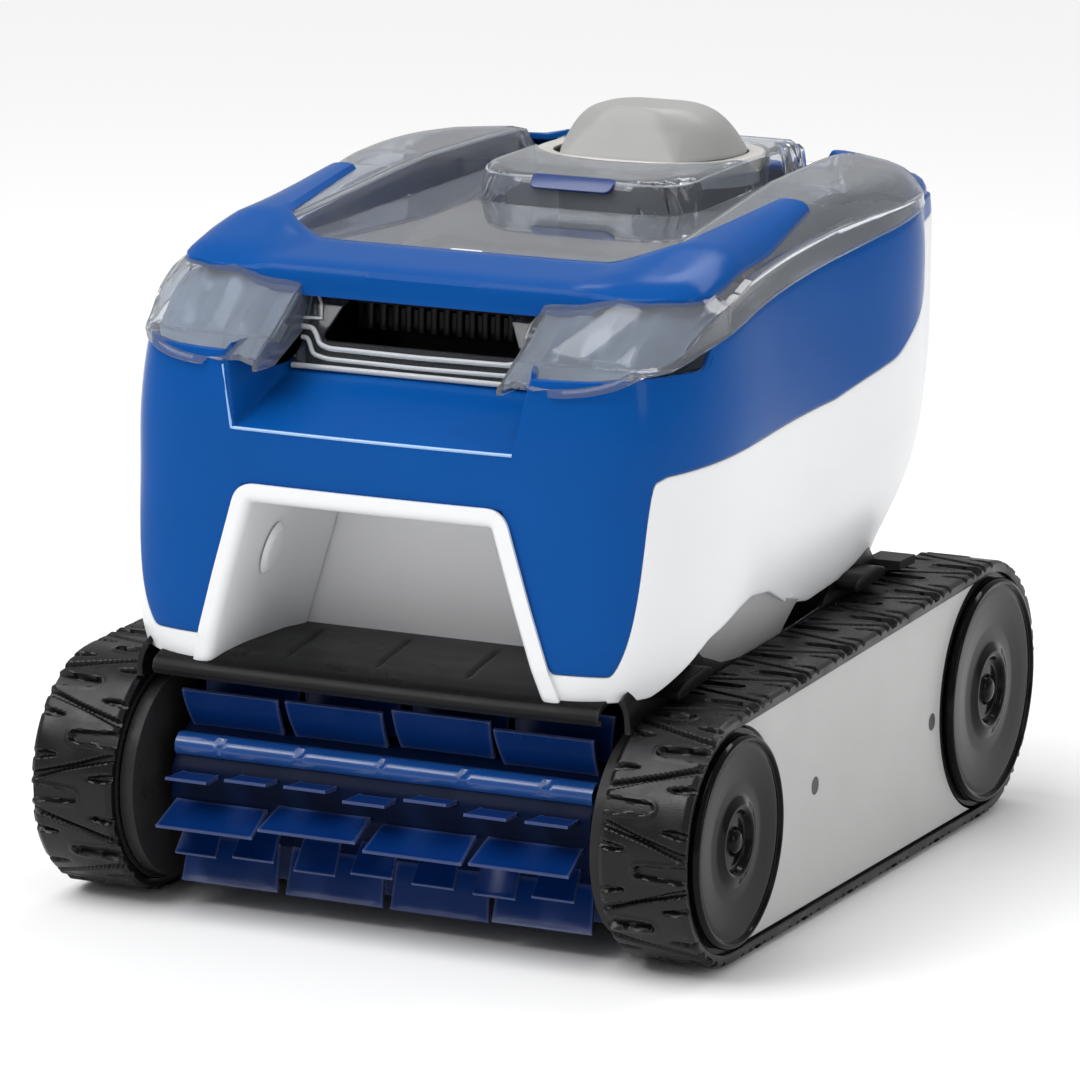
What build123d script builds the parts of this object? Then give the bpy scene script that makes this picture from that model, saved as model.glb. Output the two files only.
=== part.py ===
"""Robotic pool cleaner on two rubber tracks.

X points to the cleaner's side, Y to its back (the brush is at the front, -Y), Z up.
The origin is on the floor, below the middle of the overall box. All lengths are in millimetres.
Each function builds one piece or one family of pieces; the end of the file writes one STEP per piece.
"""
from build123d import *
import os
from math import acos, asin, cos, degrees, hypot, pi, radians, sin, tan

os.makedirs("parts", exist_ok=True)

# ------------------------------------------------------------------ driving dimensions
# wheels and belts (the rear wheel is larger, so the top run of the belt rises to the back)
FRONT_AXLE_Y = -145.4
REAR_AXLE_Y = 139.25
FRONT_BELT_R = 47.25
REAR_BELT_R = 53.45
BELT_BAND = 2.6
LUG_HEIGHT = 3.0
LUG_COUNT = 66
LUG_SHARE = 0.62
BELT_IN = 113.4
BELT_OUT = 152.0
GUIDE_X = 132.0
GUIDE_HALF = 3.0
GUIDE_HEIGHT = 1.6
FRONT_AXLE_Z = BELT_BAND + LUG_HEIGHT + FRONT_BELT_R
REAR_AXLE_Z = BELT_BAND + LUG_HEIGHT + REAR_BELT_R

# running gaps and fits
GAP = 0.3
RUNNING = 0.05
SHELL_GAP = 0.4

# wheels, from the inboard side to the outboard side
WHEEL_IN = 113.8
WHEEL_OUT = 149.5
DISC_FACE = 155.0
RIM_DEPTH = 4.4
WEB_IN = 139.5
WEB_OUT = 143.0
HUB_R = 14.0
AXLE_R = 6.0
BUSH_R = 9.0
JOURNAL_R = 10.0
DOG_AF = 12.0

# side frames between the tub and the belts
FRAME_IN = 106.5
FRAME_OUT = 112.6
FRAME_FRONT_R = 45.0
FRAME_REAR_R = 47.0
PLATE_IN = 146.5
PLATE_OUT = 150.0
PLATE_CLEAR = 1.0
PLATE_SCREWS = ((-57.0, 57.0), (76.0, 57.0))
SCREW_R = 2.0
FRAME_TOP = 104.6
FRAME_BOLTS = ((-50.0, 34.0), (40.0, 34.0))
FRAME_BOLT_R = 3.0

# final drive: pinion inside a ring gear in each rear wheel
GEAR_MODULE = 1.25
RING_TEETH = 60
PINION_TEETH = 15
PINION_ANGLE = 153.0
GEAR_IN = 115.0
GEAR_OUT = 123.0
BACKLASH = 0.16

# brush
BRUSH_HALF = 98.0
BRUSH_CORE_R = 27.0
BRUSH_TIP_R = 52.2
BRUSH_SHORT_R = 47.5
BLADE = 1.8
BRUSH_ROWS = 12
BRUSH_CLEAR = 1.2

# body shell
WALL = 3.0
SHELL_BOTTOM = 105.0
RECESS_HALF = 58.0
WINDOW_HALF = 80.0
WINDOW_FRONT = -80.0
WINDOW_BACK = 46.0

# tub, pocket and arches
TUB_HALF = 104.0
TUB_FRONT = -88.0
TUB_BACK = 170.0
TUB_LOW = 17.0
OPENING = [(-81, 108), (-60.4, 188.4), (60.4, 188.4), (81, 108)]
POCKET_BACK = -104.0
POCKET_WALL = 4.0
APRON_TOP = 112.0
ARCH_Y = -62.0
ARCH_Z = 96.0
ARCH_R = 44.0

# suction mouth (x, x, y, y), duct, flap and basket
MOUTH = (-62.0, 62.0, -64.0, -34.0)
DUCT_TOP = 112.0
FLAP_Y = MOUTH[3] - 5.5
FLAP_Z = DUCT_TOP + 3.5
FLAP_PIN_R = 1.5
BASKET = (-76.0, 76.0, -92.0, 38.0)
BASKET_LOW = 119.0
BASKET_TOP = 258.0
BASKET_MIDDLE = (186.0, 190.0)
BAIL_Y = (-24.0, -16.0)
BAIL_HALF = 30.0

# pump and outlet
PUMP_Y = 96.0
PUMP_R = 38.0
MOTOR_TOP = 214.0
SHAFT_R = 4.0
IMPELLER_TOP = 258.0
HOOD_X = 49.0
HOOD_Y = 41.0
HOOD_TOP = 328.0
HOOD_BASE = 290.0

# lid hinge
HINGE_Y = 158.5
HINGE_Z = 287.5
HINGE_PIN_R = 2.5
KNUCKLE_R = 5.5
KNUCKLE_HALF = 60.0
EAR_HALF = 70.0

# handle and latch
BAR_FRONT = -128.0
BAR_BACK = -84.0
ARM_BACK = 0.0
ARM_IN = 86.0
ARM_OUT = 119.0
HANDLE_THICK = 3.2
GRIP_HOLE = [(-46, 243), (-36, 262), (36, 262), (46, 243)]
LATCH_Y = -108.0
LATCH_Z = 258.0
LATCH_PIN_R = 1.5
LATCH_HALF = 42.0
LATCH_TEETH = 13

# cable gland in the stern
GLAND_Z = 240.0
CABLE_R = 4.2
GLAND_NECK_R = 6.5
STERN_Y = 195.1

SIDES = {"right": 1, "left": -1}


# ------------------------------------------------------------------ helpers
def face(points):
    """A flat face with straight sides through the points."""
    return make_face(Polyline(*points, close=True))


def along_x(sketch, x0, x1):
    """A (y, z) outline extruded from x0 to x1."""
    return extrude(Plane.YZ.offset(x0) * sketch, amount=x1 - x0)


def along_y(sketch, y0, y1):
    """An (x, z) outline extruded from y0 to y1."""
    return extrude(Plane.XZ.offset(-y1) * sketch, amount=y1 - y0)


def along_z(sketch, z0, z1):
    """An (x, y) outline extruded from z0 to z1."""
    return extrude(Plane.XY.offset(z0) * sketch, amount=z1 - z0)


def block(x0, x1, y0, y1, z0, z1):
    """A box between two corners."""
    return Pos((x0 + x1) / 2, (y0 + y1) / 2, (z0 + z1) / 2) * Box(x1 - x0, y1 - y0, z1 - z0)


def rod_x(radius, x0, x1, y, z):
    """A round bar along X."""
    return along_x(Pos(y, z) * Circle(radius), x0, x1)


def rod_z(radius, z0, z1, x, y):
    """A round bar along Z."""
    return along_z(Pos(x, y) * Circle(radius), z0, z1)


def lathe_x(profile, y, z):
    """A (x, radius) profile turned round an axle along X."""
    return Pos(0, y, z) * revolve(face(profile), Axis.X, 360)


def on_side(part, side):
    """The right-hand piece itself, or its mirror image on the left."""
    return part if side > 0 else mirror(part, about=Plane.YZ)


def group(parts):
    """Several separate solids in one node."""
    return Compound([solid for part in parts for solid in part.solids()])


def save(name, part):
    """Writes one piece to its own STEP file."""
    export_step(part, f"parts/{name}.step")


# ------------------------------------------------------------------ belts
BELT_TILT = 2 * asin((REAR_BELT_R - FRONT_BELT_R) / (REAR_AXLE_Y - FRONT_AXLE_Y))
FRONT_ARC = pi - BELT_TILT
REAR_ARC = pi + BELT_TILT
RUN_LENGTH = REAR_AXLE_Y - FRONT_AXLE_Y


def loop_face(offset):
    """The closed outline of the belt's inner line, moved outwards by offset."""
    front_r = FRONT_BELT_R + offset
    rear_r = REAR_BELT_R + offset
    top = pi / 2 + BELT_TILT
    front_low = (FRONT_AXLE_Y, FRONT_AXLE_Z - front_r)
    rear_low = (REAR_AXLE_Y, REAR_AXLE_Z - rear_r)
    front_top = (FRONT_AXLE_Y + front_r * cos(top), FRONT_AXLE_Z + front_r * sin(top))
    rear_top = (REAR_AXLE_Y + rear_r * cos(top), REAR_AXLE_Z + rear_r * sin(top))
    front_mid = (FRONT_AXLE_Y - front_r, FRONT_AXLE_Z)
    rear_mid = (REAR_AXLE_Y + rear_r, REAR_AXLE_Z)
    outline = [
        Line(front_low, rear_low),
        ThreePointArc(rear_low, rear_mid, rear_top),
        Line(rear_top, front_top),
        ThreePointArc(front_top, front_mid, front_low),
    ]
    return make_face(outline)


def loop_point(distance):
    """Place and outward direction on the belt's outer line, a distance along it."""
    front_r = FRONT_BELT_R + BELT_BAND
    rear_r = REAR_BELT_R + BELT_BAND
    stretches = [RUN_LENGTH, rear_r * REAR_ARC, RUN_LENGTH, front_r * FRONT_ARC]
    distance %= sum(stretches)
    if distance < stretches[0]:
        return FRONT_AXLE_Y + distance, LUG_HEIGHT, -pi / 2
    distance -= stretches[0]
    if distance < stretches[1]:
        turn = -pi / 2 + distance / rear_r
        return REAR_AXLE_Y + rear_r * cos(turn), REAR_AXLE_Z + rear_r * sin(turn), turn
    distance -= stretches[1]
    turn = pi / 2 + BELT_TILT
    if distance < stretches[2]:
        start_y = REAR_AXLE_Y + rear_r * cos(turn)
        start_z = REAR_AXLE_Z + rear_r * sin(turn)
        return start_y - distance * sin(turn), start_z + distance * cos(turn), turn
    distance -= stretches[2]
    turn += distance / front_r
    return FRONT_AXLE_Y + front_r * cos(turn), FRONT_AXLE_Z + front_r * sin(turn), turn


def belt_length():
    """Length of the belt's outer line, below the lugs."""
    return (2 * RUN_LENGTH + (REAR_BELT_R + BELT_BAND) * REAR_ARC
            + (FRONT_BELT_R + BELT_BAND) * FRONT_ARC)


def track_belt():
    """The toothed belt: a band, cross lugs outside and a guide rib inside."""
    pitch = belt_length() / LUG_COUNT
    half = pitch * LUG_SHARE / 2
    sink = 0.6
    profile = loop_face(BELT_BAND) - loop_face(0)
    for index in range(LUG_COUNT):
        y, z, turn = loop_point(index * pitch)
        lug = face([(-sink, -half), (LUG_HEIGHT, -half * 0.8), (LUG_HEIGHT, half * 0.8), (-sink, half)])
        profile += Pos(y, z) * Rot(0, 0, degrees(turn)) * lug
    band = along_x(profile, BELT_IN, BELT_OUT)
    rib = along_x(loop_face(0) - loop_face(-GUIDE_HEIGHT), GUIDE_X - GUIDE_HALF, GUIDE_X + GUIDE_HALF)
    return band + rib


# ------------------------------------------------------------------ gears
def gear_face(teeth, internal):
    """A toothed outline with involute flanks. A ring gear's outline is the hole it is cut with."""
    pitch_r = GEAR_MODULE * teeth / 2
    base_r = pitch_r * cos(radians(20))
    play = BACKLASH / 2 if internal else -BACKLASH / 2
    outer = pitch_r + (1.25 if internal else 0.9) * GEAR_MODULE
    inner = pitch_r - (0.9 if internal else 1.25) * GEAR_MODULE
    half_pitch = (pi * GEAR_MODULE / 2 + play) / 2 / pitch_r
    flank_start = max(inner, base_r)

    def involute(radius):
        angle = acos(min(1.0, base_r / radius))
        return tan(angle) - angle

    steps = 5
    radii = [flank_start + (outer - flank_start) * step / steps for step in range(steps + 1)]
    flank = [(radius, half_pitch + involute(pitch_r) - involute(radius)) for radius in radii]
    if inner < flank_start:
        flank.insert(0, (inner, flank[0][1]))
    points = []
    for tooth in range(teeth):
        middle = 2 * pi * tooth / teeth
        for radius, angle in flank:
            points.append((radius * cos(middle - angle), radius * sin(middle - angle)))
        for radius, angle in reversed(flank):
            points.append((radius * cos(middle + angle), radius * sin(middle + angle)))
    return face(points)


PINION_Y = REAR_AXLE_Y + GEAR_MODULE * (RING_TEETH - PINION_TEETH) / 2 * cos(radians(PINION_ANGLE))
PINION_Z = REAR_AXLE_Z + GEAR_MODULE * (RING_TEETH - PINION_TEETH) / 2 * sin(radians(PINION_ANGLE))
RING_R = GEAR_MODULE * RING_TEETH / 2 + 4.5
PINION_SHAFT_R = 4.0


def ring_gear():
    """Internal ring gear pressed into the rear wheel; one tooth gap points at the pinion."""
    outline = Circle(RING_R) - Rot(0, 0, PINION_ANGLE) * gear_face(RING_TEETH, True)
    return along_x(Pos(REAR_AXLE_Y, REAR_AXLE_Z) * outline, GEAR_IN, GEAR_OUT)


def drive_pinion():
    """Pinion with its shaft, which reaches inboard into the motor block."""
    outline = Rot(0, 0, PINION_ANGLE) * gear_face(PINION_TEETH, False)
    teeth = along_x(Pos(PINION_Y, PINION_Z) * outline, GEAR_IN, GEAR_OUT)
    return teeth + rod_x(PINION_SHAFT_R, 70, GEAR_IN, PINION_Y, PINION_Z)


# ------------------------------------------------------------------ wheels
def front_wheel():
    """Front wheel: a drum with a guide groove, a web, and a hub that runs in the side frame."""
    rim_r = FRONT_BELT_R - GAP
    groove_r = FRONT_BELT_R - GUIDE_HEIGHT - GAP
    groove_half = GUIDE_HALF + GAP
    profile = [
        (FRAME_IN - 1.5, 0), (FRAME_IN - 1.5, JOURNAL_R), (WHEEL_IN, JOURNAL_R), (WHEEL_IN, HUB_R),
        (WEB_IN, HUB_R), (WEB_IN, rim_r - RIM_DEPTH), (WHEEL_IN, rim_r - RIM_DEPTH), (WHEEL_IN, rim_r),
        (GUIDE_X - groove_half, rim_r), (GUIDE_X - groove_half, groove_r),
        (GUIDE_X + groove_half, groove_r), (GUIDE_X + groove_half, rim_r),
        (WHEEL_OUT, rim_r), (WHEEL_OUT, rim_r - RIM_DEPTH), (WEB_OUT, rim_r - RIM_DEPTH), (WEB_OUT, 0),
    ]
    wheel = lathe_x(profile, FRONT_AXLE_Y, FRONT_AXLE_Z)
    dog = along_x(Pos(FRONT_AXLE_Y, FRONT_AXLE_Z) * RegularPolygon(DOG_AF / 2, 6, major_radius=False),
                  BRUSH_HALF, FRAME_IN - 1.5)
    return wheel + dog


def front_wheel_left():
    """Left front wheel: as the right one, with a round pin in place of the brush dog."""
    wheel = mirror(front_wheel(), about=Plane.YZ)
    wheel -= block(-FRAME_IN + 1.5, 0, FRONT_AXLE_Y - 20, FRONT_AXLE_Y + 20, FRONT_AXLE_Z - 20,
                   FRONT_AXLE_Z + 20)
    return wheel + rod_x(DOG_AF / 2, -FRAME_IN + 1.5, -BRUSH_HALF, FRONT_AXLE_Y, FRONT_AXLE_Z)


def rear_wheel():
    """Rear wheel: a drum that holds the ring gear and turns on a fixed axle."""
    rim_r = REAR_BELT_R - GAP
    groove_r = REAR_BELT_R - GUIDE_HEIGHT - GAP
    groove_half = GUIDE_HALF + GAP
    profile = [
        (GEAR_OUT, BUSH_R), (GEAR_OUT, HUB_R), (WEB_IN, HUB_R), (WEB_IN, RING_R),
        (WHEEL_IN, RING_R), (WHEEL_IN, rim_r),
        (GUIDE_X - groove_half, rim_r), (GUIDE_X - groove_half, groove_r),
        (GUIDE_X + groove_half, groove_r), (GUIDE_X + groove_half, rim_r),
        (WHEEL_OUT, rim_r), (WHEEL_OUT, rim_r - RIM_DEPTH), (WEB_OUT, rim_r - RIM_DEPTH), (WEB_OUT, BUSH_R),
    ]
    return lathe_x(profile, REAR_AXLE_Y, REAR_AXLE_Z)


def rear_bush():
    """Plain bush between the rear wheel and its axle."""
    bore = AXLE_R + RUNNING
    profile = [(GEAR_OUT, bore), (GEAR_OUT, BUSH_R), (WEB_OUT, BUSH_R), (WEB_OUT, bore)]
    return lathe_x(profile, REAR_AXLE_Y, REAR_AXLE_Z)


def rear_axle():
    """Fixed steel axle from the side frame out through the wheel's hub, with a retaining head."""
    axle = rod_x(AXLE_R, FRAME_IN, WEB_OUT + 0.5, REAR_AXLE_Y, REAR_AXLE_Z)
    return axle + rod_x(BUSH_R - 1, WEB_OUT + 0.5, WEB_OUT + 3, REAR_AXLE_Y, REAR_AXLE_Z)


def wheel_disc(radius, y, z):
    """Dished outer disc, fixed to the wheel; its rim stands proud of the belt."""
    bowl = radius - 11
    profile = [
        (WHEEL_OUT, 0), (WHEEL_OUT + 1.2, 0), (WHEEL_OUT + 1.2, 13), (WHEEL_OUT + 3.2, 15),
        (WHEEL_OUT + 2.2, bowl), (DISC_FACE, bowl + 5), (DISC_FACE, radius - 2.5),
        (DISC_FACE - 1.8, radius), (WHEEL_OUT, radius),
    ]
    return lathe_x(profile, y, z)


def disc_screw(y, z):
    """Washer and domed screw in the middle of a wheel disc."""
    start = WHEEL_OUT + 1.2
    washer = start + 1.0
    profile = [(start, 0), (start + 2.6, 0), (start + 1.8, 4), (washer, 4), (washer, 8), (start, 8)]
    return lathe_x(profile, y, z)


def screwed_disc(belt_radius, y, z):
    """A wheel disc with its washer and screw, as two separate solids."""
    return group([wheel_disc(belt_radius - 2.2, y, z), disc_screw(y, z)])


# ------------------------------------------------------------------ side frames and plates
def wheel_room(radius):
    """The (y, z) area kept free round both wheels."""
    return (Pos(FRONT_AXLE_Y, FRONT_AXLE_Z) * Circle(FRONT_BELT_R + radius)
            + Pos(REAR_AXLE_Y, REAR_AXLE_Z) * Circle(REAR_BELT_R + radius))


def track_frame():
    """Black side frame: an inboard plate with round ends, and a box between the wheels."""
    rail = face([(FRONT_AXLE_Y, 20), (REAR_AXLE_Y, 20), (REAR_AXLE_Y, FRAME_TOP),
                 (FRONT_AXLE_Y + 20, FRAME_TOP), (FRONT_AXLE_Y, 90)])
    outline = (rail + Pos(FRONT_AXLE_Y, FRONT_AXLE_Z) * Circle(FRAME_FRONT_R)
               + Pos(REAR_AXLE_Y, REAR_AXLE_Z) * Circle(FRAME_REAR_R))
    plate = along_x(outline, FRAME_IN, FRAME_OUT)
    plate -= rod_x(JOURNAL_R + RUNNING, FRAME_IN, FRAME_OUT, FRONT_AXLE_Y, FRONT_AXLE_Z)
    plate -= rod_x(AXLE_R, FRAME_IN, FRAME_OUT, REAR_AXLE_Y, REAR_AXLE_Z)
    plate -= rod_x(PINION_SHAFT_R + 1, FRAME_IN, FRAME_OUT, PINION_Y, PINION_Z)
    room = loop_face(-GUIDE_HEIGHT - 1) - wheel_room(1.5)
    inside = loop_face(-GUIDE_HEIGHT - 4) - wheel_room(4.5)
    frame = plate + along_x(room, FRAME_OUT, PLATE_IN) - along_x(inside, FRAME_OUT + 2, PLATE_IN)
    for y, z in PLATE_SCREWS:
        frame += rod_x(6, FRAME_OUT, PLATE_IN, y, z)
        frame -= rod_x(SCREW_R, PLATE_IN - 12, PLATE_IN, y, z)
    for y, z in FRAME_BOLTS:
        frame += rod_x(9, TUB_HALF, FRAME_IN, y, z)
        frame -= rod_x(FRAME_BOLT_R, TUB_HALF, FRAME_OUT + 2, y, z)
    return frame + frame_clip()


def frame_clip():
    """Clip that bridges from the side frame over the belt's inner edge, behind the arch."""
    top = 119.0
    riser = block(FRAME_IN + 1, FRAME_OUT, 98, 116, FRAME_TOP - 4, top)
    return riser + block(FRAME_IN + 1, 124, 98, 116, top, top + 4)


def side_plate():
    """Grey cover plate between the wheels, with two countersunk screw holes."""
    outline = loop_face(-PLATE_CLEAR) - wheel_room(PLATE_CLEAR)
    plate = along_x(outline, PLATE_IN, PLATE_OUT)
    for y, z in PLATE_SCREWS:
        plate -= rod_x(SCREW_R, PLATE_IN, PLATE_OUT, y, z)
        plate -= rod_x(4, PLATE_OUT - 1.5, PLATE_OUT, y, z)
    return plate


def plate_screws(side):
    """The two screws that hold a side plate."""
    screws = []
    for y, z in PLATE_SCREWS:
        screw = rod_x(SCREW_R, PLATE_IN - 12, PLATE_OUT - 1.5, y, z)
        screws.append(on_side(screw + rod_x(4, PLATE_OUT - 1.5, PLATE_OUT - 0.2, y, z), side))
    return screws


def frame_bolts():
    """Bolts through the side frames into the tub."""
    bolts = []
    for side in SIDES.values():
        for y, z in FRAME_BOLTS:
            bolt = rod_x(FRAME_BOLT_R, TUB_HALF - 6, FRAME_OUT + 2, y, z)
            bolts.append(on_side(bolt + rod_x(6, FRAME_OUT + 2, FRAME_OUT + 6, y, z), side))
    return group(bolts)


# ------------------------------------------------------------------ brush
def brush_core():
    """Tube that carries the blade sleeve."""
    tube = rod_x(BRUSH_CORE_R - 3, -BRUSH_HALF + 6, BRUSH_HALF - 6, FRONT_AXLE_Y, FRONT_AXLE_Z)
    return tube - rod_x(BRUSH_CORE_R - 6, -BRUSH_HALF + 6, BRUSH_HALF - 6, FRONT_AXLE_Y, FRONT_AXLE_Z)


def brush_sleeve():
    """Rubber sleeve with rows of blades: four long blades and seven short ones in turn."""
    sleeve = rod_x(BRUSH_CORE_R, -BRUSH_HALF, BRUSH_HALF, FRONT_AXLE_Y, FRONT_AXLE_Z)
    blades = []
    for row in range(BRUSH_ROWS):
        long_row = row % 2 == 0
        count = 4 if long_row else 7
        tip = BRUSH_TIP_R if long_row else BRUSH_SHORT_R
        pitch = 2 * BRUSH_HALF / count
        width = pitch - (5 if long_row else 8)
        for index in range(count):
            x = -BRUSH_HALF + pitch * (index + 0.5)
            blade = block(x - width / 2, x + width / 2, BRUSH_CORE_R - 1.5, tip, -BLADE / 2, BLADE / 2)
            turned = Rot(360 / BRUSH_ROWS * row, 0, 0) * blade
            blades.append(Pos(0, FRONT_AXLE_Y, FRONT_AXLE_Z) * turned)
    sleeve += blades
    return sleeve - rod_x(BRUSH_CORE_R - 3, -BRUSH_HALF, BRUSH_HALF, FRONT_AXLE_Y, FRONT_AXLE_Z)


def brush_cap(side):
    """End cap of the brush: a six-sided socket on the driven side, a bush seat on the other."""
    cap = rod_x(BRUSH_CORE_R - 3, BRUSH_HALF - 6, BRUSH_HALF, FRONT_AXLE_Y, FRONT_AXLE_Z)
    cap += rod_x(14, BRUSH_HALF, FRAME_IN - 2, FRONT_AXLE_Y, FRONT_AXLE_Z)
    if side > 0:
        hole = RegularPolygon(DOG_AF / 2 + 0.02, 6, major_radius=False)
    else:
        hole = Circle(DOG_AF / 2 + 2)
    cap -= along_x(Pos(FRONT_AXLE_Y, FRONT_AXLE_Z) * hole, BRUSH_HALF - 6, FRAME_IN - 2)
    return on_side(cap, side)


def brush_bush():
    """Plain bush in the free end of the brush."""
    bush = rod_x(DOG_AF / 2 + 2, -FRAME_IN + 2, -BRUSH_HALF, FRONT_AXLE_Y, FRONT_AXLE_Z)
    return bush - rod_x(DOG_AF / 2 + RUNNING, -FRAME_IN + 2, -BRUSH_HALF, FRONT_AXLE_Y, FRONT_AXLE_Z)


# ------------------------------------------------------------------ body form
# Half plan of the body at each height: front y, half widths at the six stations, rear y.
STATIONS = (31.5, 122, 202, 282, 332, 362)
SECTIONS = {
    105: (-170.0, (106, 108, 104, 97, 81, 70), 184),
    124: (-177.5, (113, 117, 113, 105, 89, 78), 189),
    150: (-180.5, (120, 125, 123, 118, 101, 90), 192),
    188: (-182.0, (124, 129, 130, 130, 110, 99), 194),
    212: (-181.5, (124, 130, 131, 131, 111, 101), 195),
    245: (-179.0, (121, 127, 130, 131, 111, 101), 194),
    275: (-172.0, (115, 122, 128, 130, 110, 100), 191),
    300: (-162.0, (106, 114, 122, 125, 105, 95), 186),
}
PROFILE = [(-220, 60), (-220, 234), (-176, 238), (-158, 248), (-148, 254), (-116, 276), (-80, 287),
           (-24, 294), (40, 296.5), (94, 297), (179, 292), (220, 288), (220, 60)]
RECESS = [(-230, 212), (-181.5, 212), (-138, 233), (-133, 250), (-127, 263), (-117, 268), (-112, 276),
          (-112, 340), (-230, 340)]
WINDOW = [(WINDOW_FRONT - 4, 320), (WINDOW_FRONT, 276), (WINDOW_BACK, 284), (WINDOW_BACK + 4, 320)]


def plan_wire(z, inset):
    """The body's plan outline at a height, moved inwards by inset."""
    front, widths, rear = SECTIONS[z]
    half = [(68, front + 2), (widths[0] - 9, front + 15.5)]
    half += [(width, -181.5 + station) for width, station in zip(widths, STATIONS)]
    half[2] = (widths[0], front + 31.5)
    half += [(widths[5] * 0.72, rear - 2.5)]
    points = [(0, front)] + half + [(0, rear)] + [(-x, y) for x, y in reversed(half)]
    moved = []
    for index, (x, y) in enumerate(points):
        before = points[index - 1]
        after = points[(index + 1) % len(points)]
        dx, dy = after[0] - before[0], after[1] - before[1]
        size = hypot(dx, dy)
        moved.append((x - dy / size * inset, y + dx / size * inset, z))
    return Spline(*moved, periodic=True)


def grown(points, amount):
    """A (y, z) polygon moved outwards by amount."""
    outline = face(points)
    return offset(outline, amount=amount, kind=Kind.INTERSECTION) if amount else outline


def body(inset):
    """The whole body as one solid, moved inwards by inset on every side but the bottom."""
    heights = sorted(SECTIONS)
    form = loft([make_face(plan_wire(z, inset)) for z in heights])
    form &= along_x(grown(PROFILE, -inset), -200, 200)
    form -= along_x(grown(RECESS, inset), -RECESS_HALF - inset, RECESS_HALF + inset)
    form -= along_x(grown(WINDOW, inset), -WINDOW_HALF - inset, WINDOW_HALF + inset)
    return form


BODY = body(0)
CORE = body(WALL)

# the apron over the brush, in (y, z)
APRON = [(-100, APRON_TOP), (-150, APRON_TOP), (-170, 109), (-179, 102.5), (-178, 100),
         (-168, 104.5), (-150, 108.5), (-100, 108.5)]
# the lines where the shells part, in (y, z)
COLOUR_LINE = [(-230, 122), (-171, 122), (-161, 202), (-154, 204.5), (6, 212), (64, 222), (91, 235),
               (119, 255), (150, 268), (230, 274)]
LID_LINE = [(-230, 238), (-128, 252), (-78, 261), (18, 274), (102, 284.5), (150, 290), (230, 299)]
# plan of the lid's seat in the upper shell, half: wide at the front, tapering past the rear shoulders
SEAT_PLAN = [(150, -230), (150, 92), (66, 148), (66, 152)]
# lid plan, half: further in at the rear, so that its rear corners swing clear of the shoulders
LID_PLAN = [(150, -230), (150, 90), (64, 143.5), (60, 148)]


def above(line, lift=0.0):
    """The space above a (y, z) line, as a slab across the body."""
    points = [(y, z + lift) for y, z in line]
    return along_x(face(points + [(230, 400), (-230, 400)]), -200, 200)


def lid_room(outline, gap):
    """The space inside a lid outline: above its line, inside its plan, and the strip in the recess."""
    half = [(x + gap, y + gap * 2) for x, y in outline]
    plan = half + [(-x, y) for x, y in reversed(half)]
    room = above(LID_LINE, -gap) & along_z(face(plan), 200, 400)
    return room + block(-RECESS_HALF - gap, RECESS_HALF + gap, -160, -100, 233.5 - gap, 262)


def opening_outline(shrink):
    """The front pocket's mouth in (x, z), made smaller by shrink."""
    return offset(face(OPENING), amount=-shrink, kind=Kind.INTERSECTION) if shrink else face(OPENING)


def upper_shell():
    """Blue upper shell: the front panel with its legs, the sides and the rear shoulders."""
    shell = (BODY - CORE) & above(COLOUR_LINE)
    shell -= lid_room(SEAT_PLAN, SHELL_GAP)
    shell -= along_y(opening_outline(-0.1), -230, POCKET_BACK)
    slot = KNUCKLE_HALF + SHELL_GAP
    shell -= block(-slot, slot, HINGE_Y - 8, HINGE_Y + KNUCKLE_R + 1.5, 270, 310)
    for side in SIDES.values():
        shell += on_side(hinge_ear(), side)
        shell -= on_side(rod_x(HINGE_PIN_R, KNUCKLE_HALF, EAR_HALF, HINGE_Y, HINGE_Z), side)
    return shell


def hinge_ear():
    """Ear that holds one hinge pin, below the rear deck."""
    inner = KNUCKLE_HALF + SHELL_GAP
    ear = rod_x(KNUCKLE_R, inner, EAR_HALF, HINGE_Y, HINGE_Z)
    return ear + block(inner, EAR_HALF, HINGE_Y, HINGE_Y + 14, HINGE_Z - 5, HINGE_Z + 4)


def hinge_pins():
    """The two steel pins of the lid."""
    pin = rod_x(HINGE_PIN_R, KNUCKLE_HALF - 12, EAR_HALF, HINGE_Y, HINGE_Z)
    return group([on_side(pin, side) for side in SIDES.values()])


def lower_shell():
    """White lower shell: legs, sides, stern and a floor with the tub's hole."""
    floor = BODY & block(-150, 150, -230, 230, SHELL_BOTTOM, SHELL_BOTTOM + WALL)
    shell = (BODY - CORE) + floor
    shell -= above(COLOUR_LINE, -0.05)
    shell -= block(-TUB_HALF + 8, TUB_HALF - 8, TUB_FRONT + 3, TUB_BACK - 3, 100, SHELL_BOTTOM + WALL)
    shell -= block(-82, 82, -230, POCKET_BACK, 100, SHELL_BOTTOM + WALL)
    shell -= along_y(opening_outline(-0.1), -230, POCKET_BACK)
    shell -= along_x(grown(APRON, 0.2), -TUB_HALF - 0.3, TUB_HALF + 0.3)
    shell -= rod_x(BRUSH_TIP_R + BRUSH_CLEAR, -BRUSH_HALF - 2, BRUSH_HALF + 2, FRONT_AXLE_Y, FRONT_AXLE_Z)
    shell -= along_y(Pos(0, GLAND_Z) * Circle(GLAND_NECK_R), 170, 200)
    for side in SIDES.values():
        shell -= on_side(rod_x(ARCH_R, 60, 200, ARCH_Y, ARCH_Z), side)
    return shell.solids().sort_by(SortBy.VOLUME)[-1]


def front_pocket():
    """White liner of the front pocket: a roof and two sloping sides, open to the apron below."""
    pocket = along_y(opening_outline(0) - opening_outline(POCKET_WALL), -230, POCKET_BACK)
    pocket &= BODY
    pocket -= block(-150, 150, -230, 0, 60, APRON_TOP + 0.3)
    return pocket.solids().sort_by(SortBy.VOLUME)[-1]


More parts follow.
